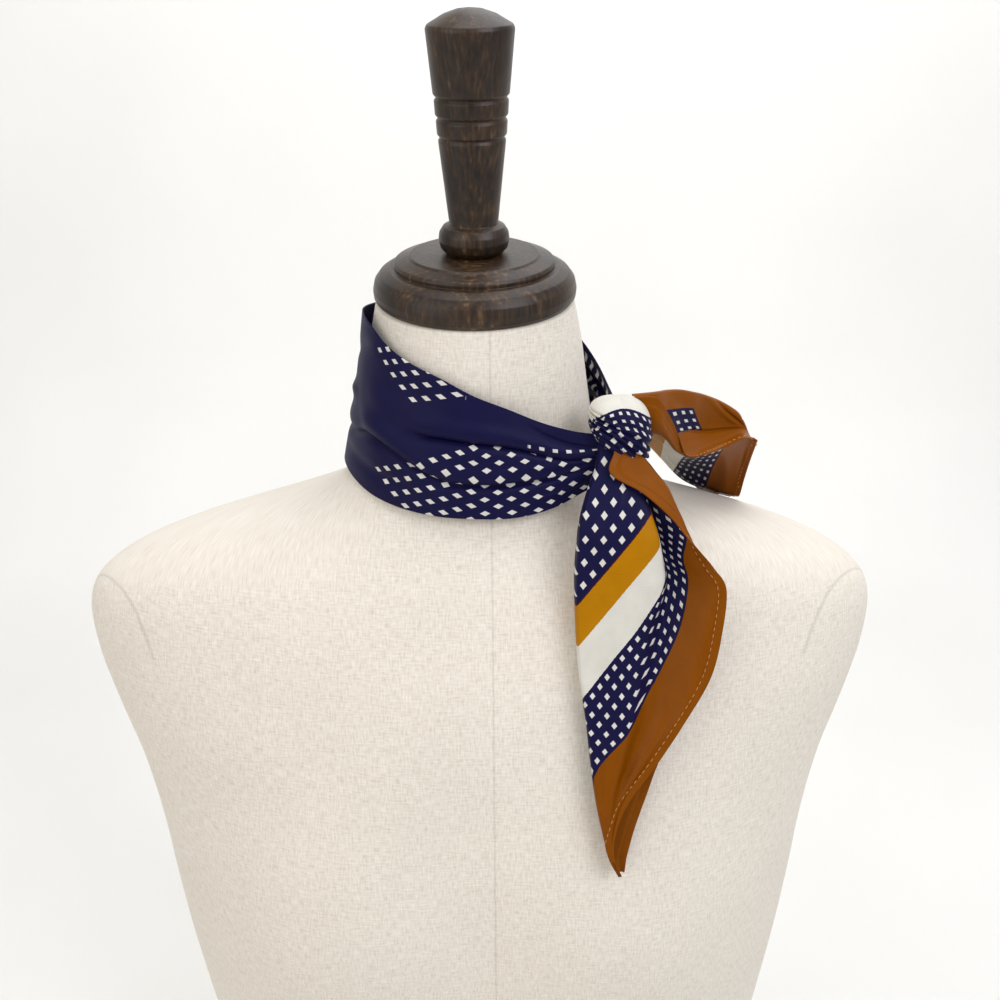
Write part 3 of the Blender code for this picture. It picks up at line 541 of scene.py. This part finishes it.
def stained_wood(name, grain, blocks=()):
    """Hardwood, turned, stained dark walnut and waxed: fine long grain under a satin coat.

    blocks are the glued-up pieces that took less stain: where each starts and ends across, in metres, and how
    much lighter it is.
    """
    made, add = new_material(name)
    coords = add("TexCoord").outputs["Object"]
    turned = {"Vector": coords, "Rotation": (-radians(NECK_LEAN), 0, 0), "Scale": grain}
    stand = add("Mapping", turned)
    fibre = add("TexNoise", {"Vector": stand, "Scale": 1.0})
    cloud = add("TexNoise", {"Vector": coords, "Scale": 45.0, "Detail": 3.0})
    mixed = add("Math", {0: cloud, 1: 0.7, 2: fibre}, operation="MULTIPLY_ADD")
    spot = add("SeparateXYZ", {0: coords})
    for start, end, strength in blocks:
        rise = add("MapRange", {0: spot, 1: start, 2: start + BLOCK_EDGE, 4: strength})
        stop = add("Math", {0: spot, 1: end}, operation="LESS_THAN")
        mixed = add("Math", {0: rise, 1: stop, 2: mixed}, operation="MULTIPLY_ADD")
    shade = add("ValToRGB", {0: add("MapRange", {0: mixed, 1: 0.5, 2: 1.3})})
    dark = {0.1: colour("#130d08"), 0.45: colour("#2a1c10")}
    set_stops(shade, {**dark, 0.68: colour("#3e2b19"), 1: colour("#735b3f")})
    rough = add("MapRange", {0: fibre, 1: 0.3, 2: 0.7, 3: 0.36, 4: 0.5})
    bump = add("Bump", {"Height": fibre, "Strength": 0.25, "Distance": 0.0003})
    look = {"Base Color": shade, "Roughness": rough, "Normal": bump, "IOR": 1.5}
    set_surface(add, {**look, "Coat Weight": 0.15, "Coat Roughness": 0.3, "Specular IOR Level": 0.3})
    return made


def plain_material(name, shade, roughness, scale):
    """A matt surface with a trace of unevenness, for the thread and for the studio's paper."""
    made, add = new_material(name)
    coords = add("TexCoord")
    grain = add("TexNoise", {"Vector": coords.outputs["Object"], "Scale": scale})
    ramp = add("ValToRGB", {0: grain})
    light = colour(shade)
    set_stops(ramp, {0.3: (*(c * 0.94 for c in light[:3]), 1), 0.7: light})
    set_surface(add, {"Base Color": ramp, "Roughness": roughness})
    return made


# -------- making pieces
def add_piece(name, bm, material, node=None):
    """Makes the bmesh a piece in metres, smooth, riding on the form, in place of its CAD node."""
    bmesh.ops.scale(bm, vec=(MM, MM, MM), verts=bm.verts)
    piece = add_object(name, bm, material)
    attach(piece, "root")
    if node:
        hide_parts(node)
    return piece


def add_object(name, bm, material):
    mesh = bpy.data.meshes.new(name)
    bm.to_mesh(mesh)
    bm.free()
    mesh.materials.append(material)
    mesh.shade_smooth()
    return link_object(name, mesh)


def link_object(name, data):
    made = bpy.data.objects.new(name, data)
    bpy.context.scene.collection.objects.link(made)
    return made


def set_uvs(bm, uv, flat):
    """Gives each face's corners the places of their points on the flat cloth."""
    for face in bm.faces:
        for loop in face.loops:
            loop[uv].uv = flat[loop.vert]


def add_cloth(name, silk, node, steps, across, place_at, side=-1):
    """A stretch of the scarf: a sheet of steps by across cells, whose wall lies on this side of its faces.

    place_at(along, across) gives each spot's place, its two lengths on the flat square, whether marks show,
    and how far creases and hems lift it off the sheet.
    """
    bm = bmesh.new()
    bmesh.ops.create_grid(bm, x_segments=steps, y_segments=across, size=0.5)
    uv = bm.loops.layers.uv.new("print")
    marks = bm.verts.layers.float.new("marks")
    flat, lifts = {}, {}
    for vert in bm.verts:
        vert.co, s, t, vert[marks], lifts[vert] = place_at(vert.co.x + 0.5, vert.co.y + 0.5)
        flat[vert] = (s / SQUARE, t / SQUARE)
    bm.normal_update()
    for vert, lift in lifts.items():
        vert.co -= vert.normal * side * lift
    set_uvs(bm, uv, flat)
    piece = add_piece(name, bm, silk, node)
    wall = piece.modifiers.new("wall", "SOLIDIFY")
    wall.thickness = CLOTH * MM
    wall.offset = side
    return piece


# -------- the dress form
def form_point(row, angle):
    across, deep = cos(angle), sin(angle)
    x = row.half_width * signed_power(across, 2 / row.square)
    reach = row.back if deep > 0 else row.front
    y = reach * signed_power(deep, 2 / row.square)
    aside = abs(x) - BUST_SIDE
    away = hypot(aside, row.height - BUST_HEIGHT)
    y -= BUST_RISE * exp(-(away**2) / (2 * BUST_SPREAD**2)) * smooth_step(-deep * BUST_FADE)
    z = row.height + y * tan(radians(row.lean))
    return Vector((x, y, z))


SHOULDER_LEVELS = [row_by_key(FORM_ROWS, SHOULDER_FLOOR + k) for k in range(int(NECK_TOP - SHOULDER_FLOOR))]


def form_height_at(x, y):
    """How high the shoulder's surface is above a point of the plan."""

    def inside(row):
        reach = row.back if y > 0 else row.front
        return abs(x / row.half_width) ** row.square + abs(y / reach) ** row.square - 1

    low, high = 0, len(SHOULDER_LEVELS) - 1
    while high - low > 1:
        middle = (low + high) // 2
        low, high = (middle, high) if inside(SHOULDER_LEVELS[middle]) < 0 else (low, middle)
    under, over = inside(SHOULDER_LEVELS[low]), inside(SHOULDER_LEVELS[high])
    return SHOULDER_FLOOR + low + (under / (under - over) if over > 0 > under else 0.0)


FLAT_FROM, FLAT_OVER = 0.5, 0.3  # how far up a face turns before the weave's cross threads fade on it


def build_form(linen):
    """The form, with its cover's weave laid out by lengths round it and by height."""
    turns = [2 * pi * (k / FORM_AROUND - 0.75) for k in range(FORM_AROUND + 1)]
    rows = [row_at(FORM_ROWS, level / FORM_LEVELS) for level in range(FORM_LEVELS + 1)]
    rings = [[form_point(row, turn) for turn in turns] for row in rows]
    lengths = [lengths_along(ring) for ring in rings]
    middle = FORM_AROUND // 2
    bm = bmesh.new()
    bmesh.ops.create_grid(bm, x_segments=FORM_AROUND, y_segments=FORM_LEVELS, size=0.5)
    uv = bm.loops.layers.uv.new("weave")
    steep = bm.verts.layers.float.new("steep")
    flat = {}
    for vert in bm.verts:
        k, level = round((vert.co.x + 0.5) * FORM_AROUND), round((vert.co.y + 0.5) * FORM_LEVELS)
        vert.co = rings[level][k]
        flat[vert] = ((lengths[level][k] - lengths[level][middle]) * MM, vert.co.z * MM)
    set_uvs(bm, uv, flat)
    bmesh.ops.remove_doubles(bm, verts=bm.verts, dist=0.001)
    rims = [edge for edge in bm.edges if edge.is_boundary]
    for at_neck in (False, True):
        rim = [edge for edge in rims if (edge.verts[0].co.z > NECK_TOP / 2) == at_neck]
        bmesh.ops.contextual_create(bm, geom=rim)
    bmesh.ops.recalc_face_normals(bm, faces=bm.faces)
    bm.normal_update()
    for vert in bm.verts:
        vert[steep] = 1 - smooth_step((abs(vert.normal.z) - FLAT_FROM) / FLAT_OVER)
    add_piece("form_body_linen", bm, linen, "form_body")


def build_turned(name, rows, wood, node):
    """A turned piece: its profile spun round the leaning neck's axis, with its edges eased."""
    bm = bmesh.new()
    verts = [bm.verts.new((row.radius, 0, row.height)) for row in rows]
    edges = [bm.edges.new(pair) for pair in zip(verts, verts[1:])]
    whole = {"cent": (0, 0, 0), "axis": (0, 0, 1), "angle": 2 * pi, "use_merge": True}
    bmesh.ops.spin(bm, geom=verts + edges, steps=LATHE_STEPS, **whole)
    bmesh.ops.remove_doubles(bm, verts=bm.verts, dist=0.01)
    bmesh.ops.recalc_face_normals(bm, faces=bm.faces)
    stand = Matrix.Translation((0, 0, NECK_TOP)) @ Matrix.Rotation(radians(NECK_LEAN), 4, "X")
    bmesh.ops.transform(bm, matrix=stand, verts=bm.verts)
    piece = add_piece(name, bm, wood, node)
    ease = piece.modifiers.new("eased_edges", "BEVEL")
    ease.width = LATHE_EASE * MM
    ease.segments = 3
    ease.limit_method = "ANGLE"
    ease.angle_limit = radians(LATHE_CORNER)


# -------- the band
def neck_point(turn, radius, height):
    """A point round the leaning neck's axis."""
    angle = radians(turn)
    axis_y = (NECK_AXIS_TOP - height) * NECK_AXIS_SLOPE
    return Vector((-radius * sin(angle), axis_y - radius * cos(angle), height))


BAND_START, BAND_END = BAND_ROWS[0].turn, BAND_ROWS[-1].turn
BAND_LOOKS = 1000
BAND_TURNS = [BAND_START + (BAND_END - BAND_START) * k / BAND_LOOKS for k in range(BAND_LOOKS + 1)]
BAND_TABLE = [row_by_key(BAND_ROWS, turn) for turn in BAND_TURNS]


def band_print(turn, height, depth, share):
    """Where a point of the band lies on the flat square, and whether its marks show."""
    along = radians(turn) * BAND_RADIUS
    valley = curve_through(BAND_FOLDS[0].turns, BAND_FOLDS[0].places, turn)
    down = -(height - BIAS_LOW) / BIAS_DOWN
    if turn > BACK_TURN:
        # the cloth that comes round from behind, straight down to the knot
        i, j = along / BACK_STEP[0] + BACK_STEP[1], depth / BACK_DOWN[0] + BACK_DOWN[1]
        shown = True
    elif turn < LIP_TURN and share < valley:
        # the upper fold's lip, whose marks run along it and come closer towards the knot
        past = -along - LIP_ALONG
        i = -(LIP_STEPS[0] + LIP_STEPS[1] * past + LIP_STEPS[2] * past**2)
        j = (depth - valley * depth / max(share, 0.01)) / LIP_DOWN + LIP_SHIFT
        shown = turn < LIP_SHOWN and -0.5 < j < 0.5
    elif turn > FEW_TURN and share < FEW_SHARE:
        # the few marks under the top edge
        aside, lower = along - FEW_ALONG, down - FEW_DOWN
        aside += FEW_SPREAD * aside**2
        counts = [by * aside + down_by * lower for by, down_by, _ in (FEW_I, FEW_J)]
        i, j = counts[0] + FEW_I[2], counts[1] + FEW_J[2]
        shown = all(0.5 - FEW_MARKS < n < 0.5 for n in counts)
    else:
        right, by_knot = max(along, 0.0), max(-along - PINCH_FROM, 0.0)
        i = along / BIAS_ALONG + down + BIAS_SHIFT + DRIFT_I * right
        j = -along / BIAS_ALONG + down - BIAS_SHIFT + DRIFT_J * right + PINCH_J * by_knot
        i += TURN_STEP * smooth_step((height - TURN_STEP_FROM) / TURN_STEP_OVER)
        in_front = share > valley or turn > BIAS_TURN
        shown = round(i) <= BIAS_LAST_I and round(j) >= BIAS_LAST_J and in_front
    start = FIELD_START + BAND_FIRST_MARK * FIELD_PITCH
    return start + FIELD_PITCH * i, start + FIELD_PITCH * j, float(shown)


def band_place(along, across):
    at = along * BAND_LOOKS
    k = min(int(at), BAND_LOOKS - 1)
    low, high = BAND_TABLE[k], BAND_TABLE[k + 1]
    row = type(low)(*(a + (b - a) * (at - k) for a, b in zip(low, high)))
    turn = row.turn
    radius = curve_through((0, 0.5, 1), (row.radius_top, row.radius_middle, row.radius_low), across)
    height = row.top + across * (row.low - row.top)
    s, t, shown = band_print(turn, height, (row.top - row.low) * across, across)
    fade = fade_between(BAND_START, BAND_END, BAND_END_FADE, turn)
    at_ends = FOLD_AT_BAND_END + (1 - FOLD_AT_BAND_END) * fade
    for fold in BAND_FOLDS:
        first, last = min(fold.turns), max(fold.turns)
        if not first < turn < last:
            continue
        strength = fade_between(first, last, FOLD_END_FADE, turn) * at_ends
        widths_off = (across - curve_through(fold.turns, fold.places, turn)) / fold.width
        swell = bell(widths_off + LAP_SWELL_AT, LAP_SWELL_WIDTH)
        radius -= fold.depth * strength * bell(widths_off, 1)
        radius += LAP_STAND_OUT * fold.lap * strength * swell
        height -= fold.lap * strength * bell(widths_off + LAP_PULL_AT, 1)
    return neck_point(turn, radius, height), s, t, shown, crease_lift(BAND_CREASES, BAND_SIZE, along, across)


def build_band(silk):
    piece = add_cloth("band_silk", silk, "neck_band", BAND_STEPS, BAND_ACROSS, band_place)


# -------- the knot
def knot_point(direction):
    inward = 0.0
    for gather in KNOT_GATHERS:
        share = (1 + direction.x) / 2
        height = gather.left + (gather.right - gather.left) * share
        width = gather.width * (GATHER_LEFT + GATHER_GROW * share)
        inward += gather.depth * bell(direction.z - height, width)
    squared = sum(abs(c) ** KNOT_SQUARE for c in direction) ** (-1 / KNOT_SQUARE)
    across, deep, high = ((half - inward) * c * squared for half, c in zip(KNOT_HALF_SIZES, direction))
    high -= KNOT_SLANT * across * (1 - direction.z) / 2
    return Vector((across, deep, high))


def build_knot(silk):
    """The knot: cream on top, rows of small marks, then the field on the slant, as the gathers turn it."""
    bm = bmesh.new()
    bmesh.ops.create_uvsphere(bm, u_segments=KNOT_AROUND, v_segments=KNOT_ALONG, radius=1)
    uv = bm.loops.layers.uv.new("print")
    marks = bm.verts.layers.float.new("marks")
    below, turned, high = {}, {}, {}
    for vert in bm.verts:
        direction = vert.co.normalized()
        point = knot_point(direction)
        below[vert] = (KNOT_LINE - KNOT_LINE_DROP * (point.x / KNOT_ROUND) ** 2 - point.z) * KNOT_DOWN
        turned[vert] = atan2(direction.x, -direction.y)
        high[vert] = point.z
        vert[marks] = 1.0
        vert.co = point + Vector(KNOT_MIDDLE)
    for face in bm.faces:
        mean = sum(below[v] for v in face.verts) / len(face.verts)
        across_seam = face.calc_center_median().y > KNOT_MIDDLE[1]
        for loop in face.loops:
            depth, turn = below[loop.vert], turned[loop.vert]
            if across_seam and turn < 0:
                turn += 2 * pi
            if mean < KNOT_SMALL_ROWS * SMALL_PITCH:
                s = CREAM_START - KNOT_SMALL_FROM[0] - depth
                t = KNOT_SMALL_FROM[1] + KNOT_SMALL_ROUND * turn - KNOT_LEAN * depth
            else:
                s = KNOT_FIELD_S[0] + KNOT_FIELD_S[1] * (KNOT_ROUND * turn - high[loop.vert])
                t = KNOT_FIELD_T[0] + KNOT_FIELD_T[1] * (KNOT_ROUND * turn + high[loop.vert])
            loop[uv].uv = (s / SQUARE, t / SQUARE)
    add_piece("knot_silk", bm, silk, "knot")


# -------- the tail in front
def tail_keys(row):
    """The points across one level section of the tail, from its hem round its side fold to its back hem."""
    front = -row.sheet
    behind = front + row.fullness * TAIL_BACK + min(TAIL_LAYER_GAP, TAIL_GAP_SHARE * (row.back - row.left))
    width = row.turn - row.ridge
    face = row.ridge - row.left
    crown = min(row.fullness * TAIL_CROWN, TAIL_RIDGE_SHARE * face)
    ridge = min(TAIL_RIDGE_RISE, TAIL_RIDGE_SHARE * width)
    valley = min(row.fullness * TAIL_VALLEY, TAIL_VALLEY_SHARE * width**2)
    inset = min(TAIL_TURN_ROUND, TAIL_TURN_SHARE * face)
    bevel = TAIL_TURN_BEVEL * inset
    spots = (
        (row.hem, front + row.hem_back),
        (row.turn, front),
        (row.valley, front + valley),
        (row.ridge, front - ridge),
        ((row.ridge + row.left + inset) / 2, front - crown),
        (row.left + inset, front),
        (row.left + bevel, front + bevel),
        (row.left, (front + behind) / 2),
        (row.left + bevel, behind - bevel),
        (row.left + inset, behind),
        ((row.left + row.back) / 2, behind + TAIL_BACK_BOW),
        (row.back, behind),
    )
    return [(x, y, row.height) for x, y in spots]


def face_length(plane, x, z):
    return plane[0] + plane[1] * (x - FACE_FROM[0]) + plane[2] * (z - FACE_FROM[1])


def tail_place(along, across):
    row = row_at(TAIL_ROWS, along)
    point, at, reached = section_spot(tail_keys(row), across, TAIL_CELLS)
    turn, valley, ridge, fold = (reached[key] for key in TAIL_LINES)
    shown = 1.0
    if at > fold:
        # the back layer, out to its own hem
        behind = at - fold
        s = row.in_left + BACK_ALONG * behind
        t = face_length(FACE_T, row.left, row.height) * (1 - behind / (reached[-1] - fold))
    else:
        places = (0, turn, valley, ridge, fold)
        values = (0, row.in_turn, row.in_valley, row.in_ridge, row.in_left)
        n = next(m for m in range(4) if at <= places[m + 1] + TINY)
        s = values[n] + (values[n + 1] - values[n]) * (at - places[n]) / max(places[n + 1] - places[n], TINY)
        face = face_length(FACE_T, point.x, row.height)
        flap = row.along_turn - FLAP_ALONG * (at - turn)
        if at > ridge:
            even = face_length(FACE_S, point.x, row.height)
            s += (even - s) * smooth_step((even - FIELD_BLEND[0]) / FIELD_BLEND[1])
        blend = smooth_step((at - valley) / max(ridge - valley, TINY))
        t = flap + (face - flap) * blend
        if 0 < blend < 1 and row.height > VALLEY_HIDDEN_ABOVE:
            shown = 0.0
    lift = hem_lift(min(at, reached[-1] - at)) + crease_lift(TAIL_CREASES, TAIL_SIZE, along, across)
    return point, s, t, shown, lift


def build_tail(silk):
    piece = add_cloth("front_tail_silk", silk, "front_tail", TAIL_STEPS, sum(TAIL_CELLS), tail_place, side=1)


# -------- the tail behind
def rest_on_form(point):
    """Lifts a point of the cloth clear of the shoulder, with a soft bend where it comes to lie on it."""
    resting = form_height_at(point.x, point.y) + FORM_CLEARANCE
    gap = point.z - resting
    point.z = resting + (gap + hypot(gap, RESTING_BEND)) / 2
    return point


def hood_section(along):
    """The points across the hood: lip, foot, crease, the two sides of its ridge, and where it ends."""
    lip, foot, crease, (x, y, z), low = row_at(HOOD_ROWS, along)
    return lip, foot, crease, (x, y - RIDGE_ROUNDING, z), (x, y + RIDGE_ROUNDING, z), low


def hood_place(along, across):
    place, at, reached = section_spot(hood_section(along), across, HOOD_CELLS)
    crease, front, back = reached[2:5]
    from_end = (1 - along) * HOOD_SIZE[0]
    if at <= crease:
        # the face by the knot and the hollow's floor, both in the border
        s, t = min(at, BORDER_ONLY), BORDER_ALONG
    elif at <= front:
        # the hollow's wall, with the corner of navy inside the border
        up = (at - crease) / (front - crease)
        s = BORDER_END + (CORNER_RIGHT - CORNER_LEAN * up - place.x) * CORNER_ACROSS
        t = BORDER_END + (CORNER_TOP - up) * CORNER_UP
        s, t = max(s, 1.0), max(t, 1.0)
    else:
        # over the ridge and down behind, in from the border to the field
        t = BORDER_END + (CORNER_TOP - 1) * CORNER_UP + max(at - back, 0.0)
        s = from_end
    lift = hem_lift(min(at, from_end)) + crease_lift(HOOD_CREASES, HOOD_SIZE, along, across)
    return rest_on_form(place), s, t, 1.0, lift


def build_hood(silk):
    piece = add_cloth("back_tail_hood_silk", silk, "back_tail_hood", HOOD_STEPS, sum(HOOD_CELLS), hood_place)


def fall_place(along, across):
    row = row_at(FALL_ROWS, along)
    straight = Vector(row.top).lerp(Vector(row.low), across)
    point = rest_on_form(straight + FALL_BOW_WAY * row.bow * sin(pi * across))
    lift = hem_lift((1 - along) * FALL_SIZE[0]) + crease_lift(FALL_CREASES, FALL_SIZE, along, across)
    return point, row.hem, FALL_START + FALL_ALONG * across, 1.0, lift


def build_fall(silk):
    piece = add_cloth("back_tail_fall_silk", silk, "back_tail_fall", FALL_STEPS, FALL_ACROSS, fall_place)


# -------- stitches
STITCH_LOOKS, STITCH_NUDGE = 400, 0.004  # places tried along a hem, and a small share across it


def stitch_line(bm, place_at, line, span, side=-1):
    """Adds a row of small stitches on a cloth: line(share) gives its two shares, over a span of share."""

    def spot(share, nudge=0.0):
        along, across = line(share)
        found = place_at(along, across + nudge)
        return found[0], found[4]

    looks = [span[0] + (span[1] - span[0]) * k / STITCH_LOOKS for k in range(STITCH_LOOKS + 1)]
    run, due = 0.0, STITCH_STEP / 2
    for start, end in zip(looks, looks[1:]):
        here, there = spot(start)[0], spot(end)[0]
        run += (there - here).length
        if run < due:
            continue
        due += STITCH_STEP
        way = (there - here).normalized()
        inward = spot(start, STITCH_NUDGE)[0] - here
        face = -side * way.cross(inward).normalized()
        middle = here + face * (spot(start)[1] + STITCH_RISE)
        turn = Matrix((way, face.cross(way), face)).transposed().to_4x4()
        shape = Matrix.Diagonal((STITCH_LENGTH, STITCH_WIDTH, STITCH_WIDTH, 1))
        where = Matrix.Translation(middle) @ turn @ shape
        bmesh.ops.create_uvsphere(bm, u_segments=8, v_segments=6, radius=0.5, matrix=where)


def build_stitches(thread):
    """The stitches of the hems that show: both of the front tail, the hood's and the fall's."""

    def in_from(edge, section, cells):
        return lambda share: (share, share_round(section(share), cells, edge))

    def tail_section(along):
        return tail_keys(row_at(TAIL_ROWS, along))

    bm = bmesh.new()
    stitch_line(bm, tail_place, in_from(STITCH_IN, tail_section, TAIL_CELLS), (0.16, 0.90), side=1)
    stitch_line(bm, tail_place, in_from(-STITCH_IN, tail_section, TAIL_CELLS), (0.20, 0.92), side=1)
    stitch_line(bm, hood_place, in_from(STITCH_IN, hood_section, HOOD_CELLS), (0.14, 0.97))
    end = 1 - STITCH_IN / FALL_SIZE[0]
    stitch_line(bm, fall_place, lambda share: (end, share), (0.03, 0.97))
    bmesh.ops.recalc_face_normals(bm, faces=bm.faces)
    add_piece("hem_stitches", bm, thread)


# -------- studio, in metres
SWEEP = [(-1.6, 0), (0.75, 0), (0.98, 0.06), (1.13, 0.2), (1.2, 0.42), (1.2, 2.6)]  # back and up
SWEEP_WIDTH = 5.2
AIR_SHADE, AIR_STRENGTH = "#f3f4f8", 0.52
LAMPS = table(
    "name place target size power shade",
    ("window", (1.15, -1.2, 1.65), (0, 0, 0.5), 1.1, 19, "#f8f9ff"),
    ("fill", (-1.4, -1.3, 1.3), (0, 0, 0.5), 1.8, 16, "#fffaf3"),
    ("back_window", (0.4, 0.9, 1.9), (0, 0, 0.55), 1, 5, "#f2f6ff"),
    ("wall", (0.15, 0.1, 1.9), (0.05, 1.2, 1), 1.2, 13, "#ffffff"),
)
CAMERA_PLACE, CAMERA_TILT, CAMERA_ROLL = (0.0108, -0.505, 0.706), 70, -0.5
LENS = 38.6  # millimetres, before a sensor 36 mm wide


def build_studio():
    paper = plain_material("studio_paper", "#eeede9", 0.95, 2.0)
    bm = bmesh.new()
    verts = [bm.verts.new((-SWEEP_WIDTH / 2, y, z)) for y, z in SWEEP]
    edges = [bm.edges.new(pair) for pair in zip(verts, verts[1:])]
    pulled = bmesh.ops.extrude_edge_only(bm, edges=edges)
    moved = [v for v in pulled["geom"] if isinstance(v, bmesh.types.BMVert)]
    bmesh.ops.translate(bm, vec=(SWEEP_WIDTH, 0, 0), verts=moved)
    bmesh.ops.recalc_face_normals(bm, faces=bm.faces)
    sweep = add_object("studio_sweep", bm, paper)
    round_off = sweep.modifiers.new("round", "SUBSURF")
    round_off.levels = round_off.render_levels = 2

    world = bpy.data.worlds.new("studio_air")
    world.use_nodes = True
    air = world.node_tree.nodes["Background"]
    air.inputs["Color"].default_value = colour(AIR_SHADE)
    air.inputs["Strength"].default_value = AIR_STRENGTH
    bpy.context.scene.world = world

    for row in LAMPS:
        data = bpy.data.lights.new(row.name, "AREA")
        data.size = row.size
        data.energy = row.power
        data.color = colour(row.shade)[:3]
        lamp = link_object(row.name, data)
        lamp.location = row.place
        aim = Vector(row.target) - Vector(row.place)
        lamp.rotation_euler = aim.to_track_quat("-Z", "Y").to_euler()


def build_camera():
    data = bpy.data.cameras.new("camera")
    data.lens = LENS
    camera = link_object("camera", data)
    tilt = Matrix.Rotation(radians(CAMERA_TILT), 4, "X")
    roll = Matrix.Rotation(radians(CAMERA_ROLL), 4, "Z")
    camera.matrix_world = Matrix.Translation(CAMERA_PLACE) @ tilt @ roll
    bpy.context.scene.camera = camera


def main():
    build_camera()
    build_studio()
    silk = printed_silk("printed_silk_twill")
    linen = linen_cover("unbleached_linen")
    upright = stained_wood("stained_hardwood_upright", (700, 700, 30))
    flatwise = stained_wood("stained_hardwood_flat", (420, 700, 60), [(-0.013, 0.0150, 0.14)])
    thread = plain_material("silk_thread", "#bd7f45", 0.55, 900.0)
    build_form(linen)
    build_turned("neck_cap_wood", NECK_CAP_ROWS, flatwise, "neck_cap")
    build_turned("finial_wood", FINIAL_ROWS, upright, "finial")
    build_knot(silk)
    build_band(silk)
    build_tail(silk)
    build_hood(silk)
    build_fall(silk)
    build_stitches(thread)
    bpy.context.scene.view_settings.view_transform = "Standard"


main()
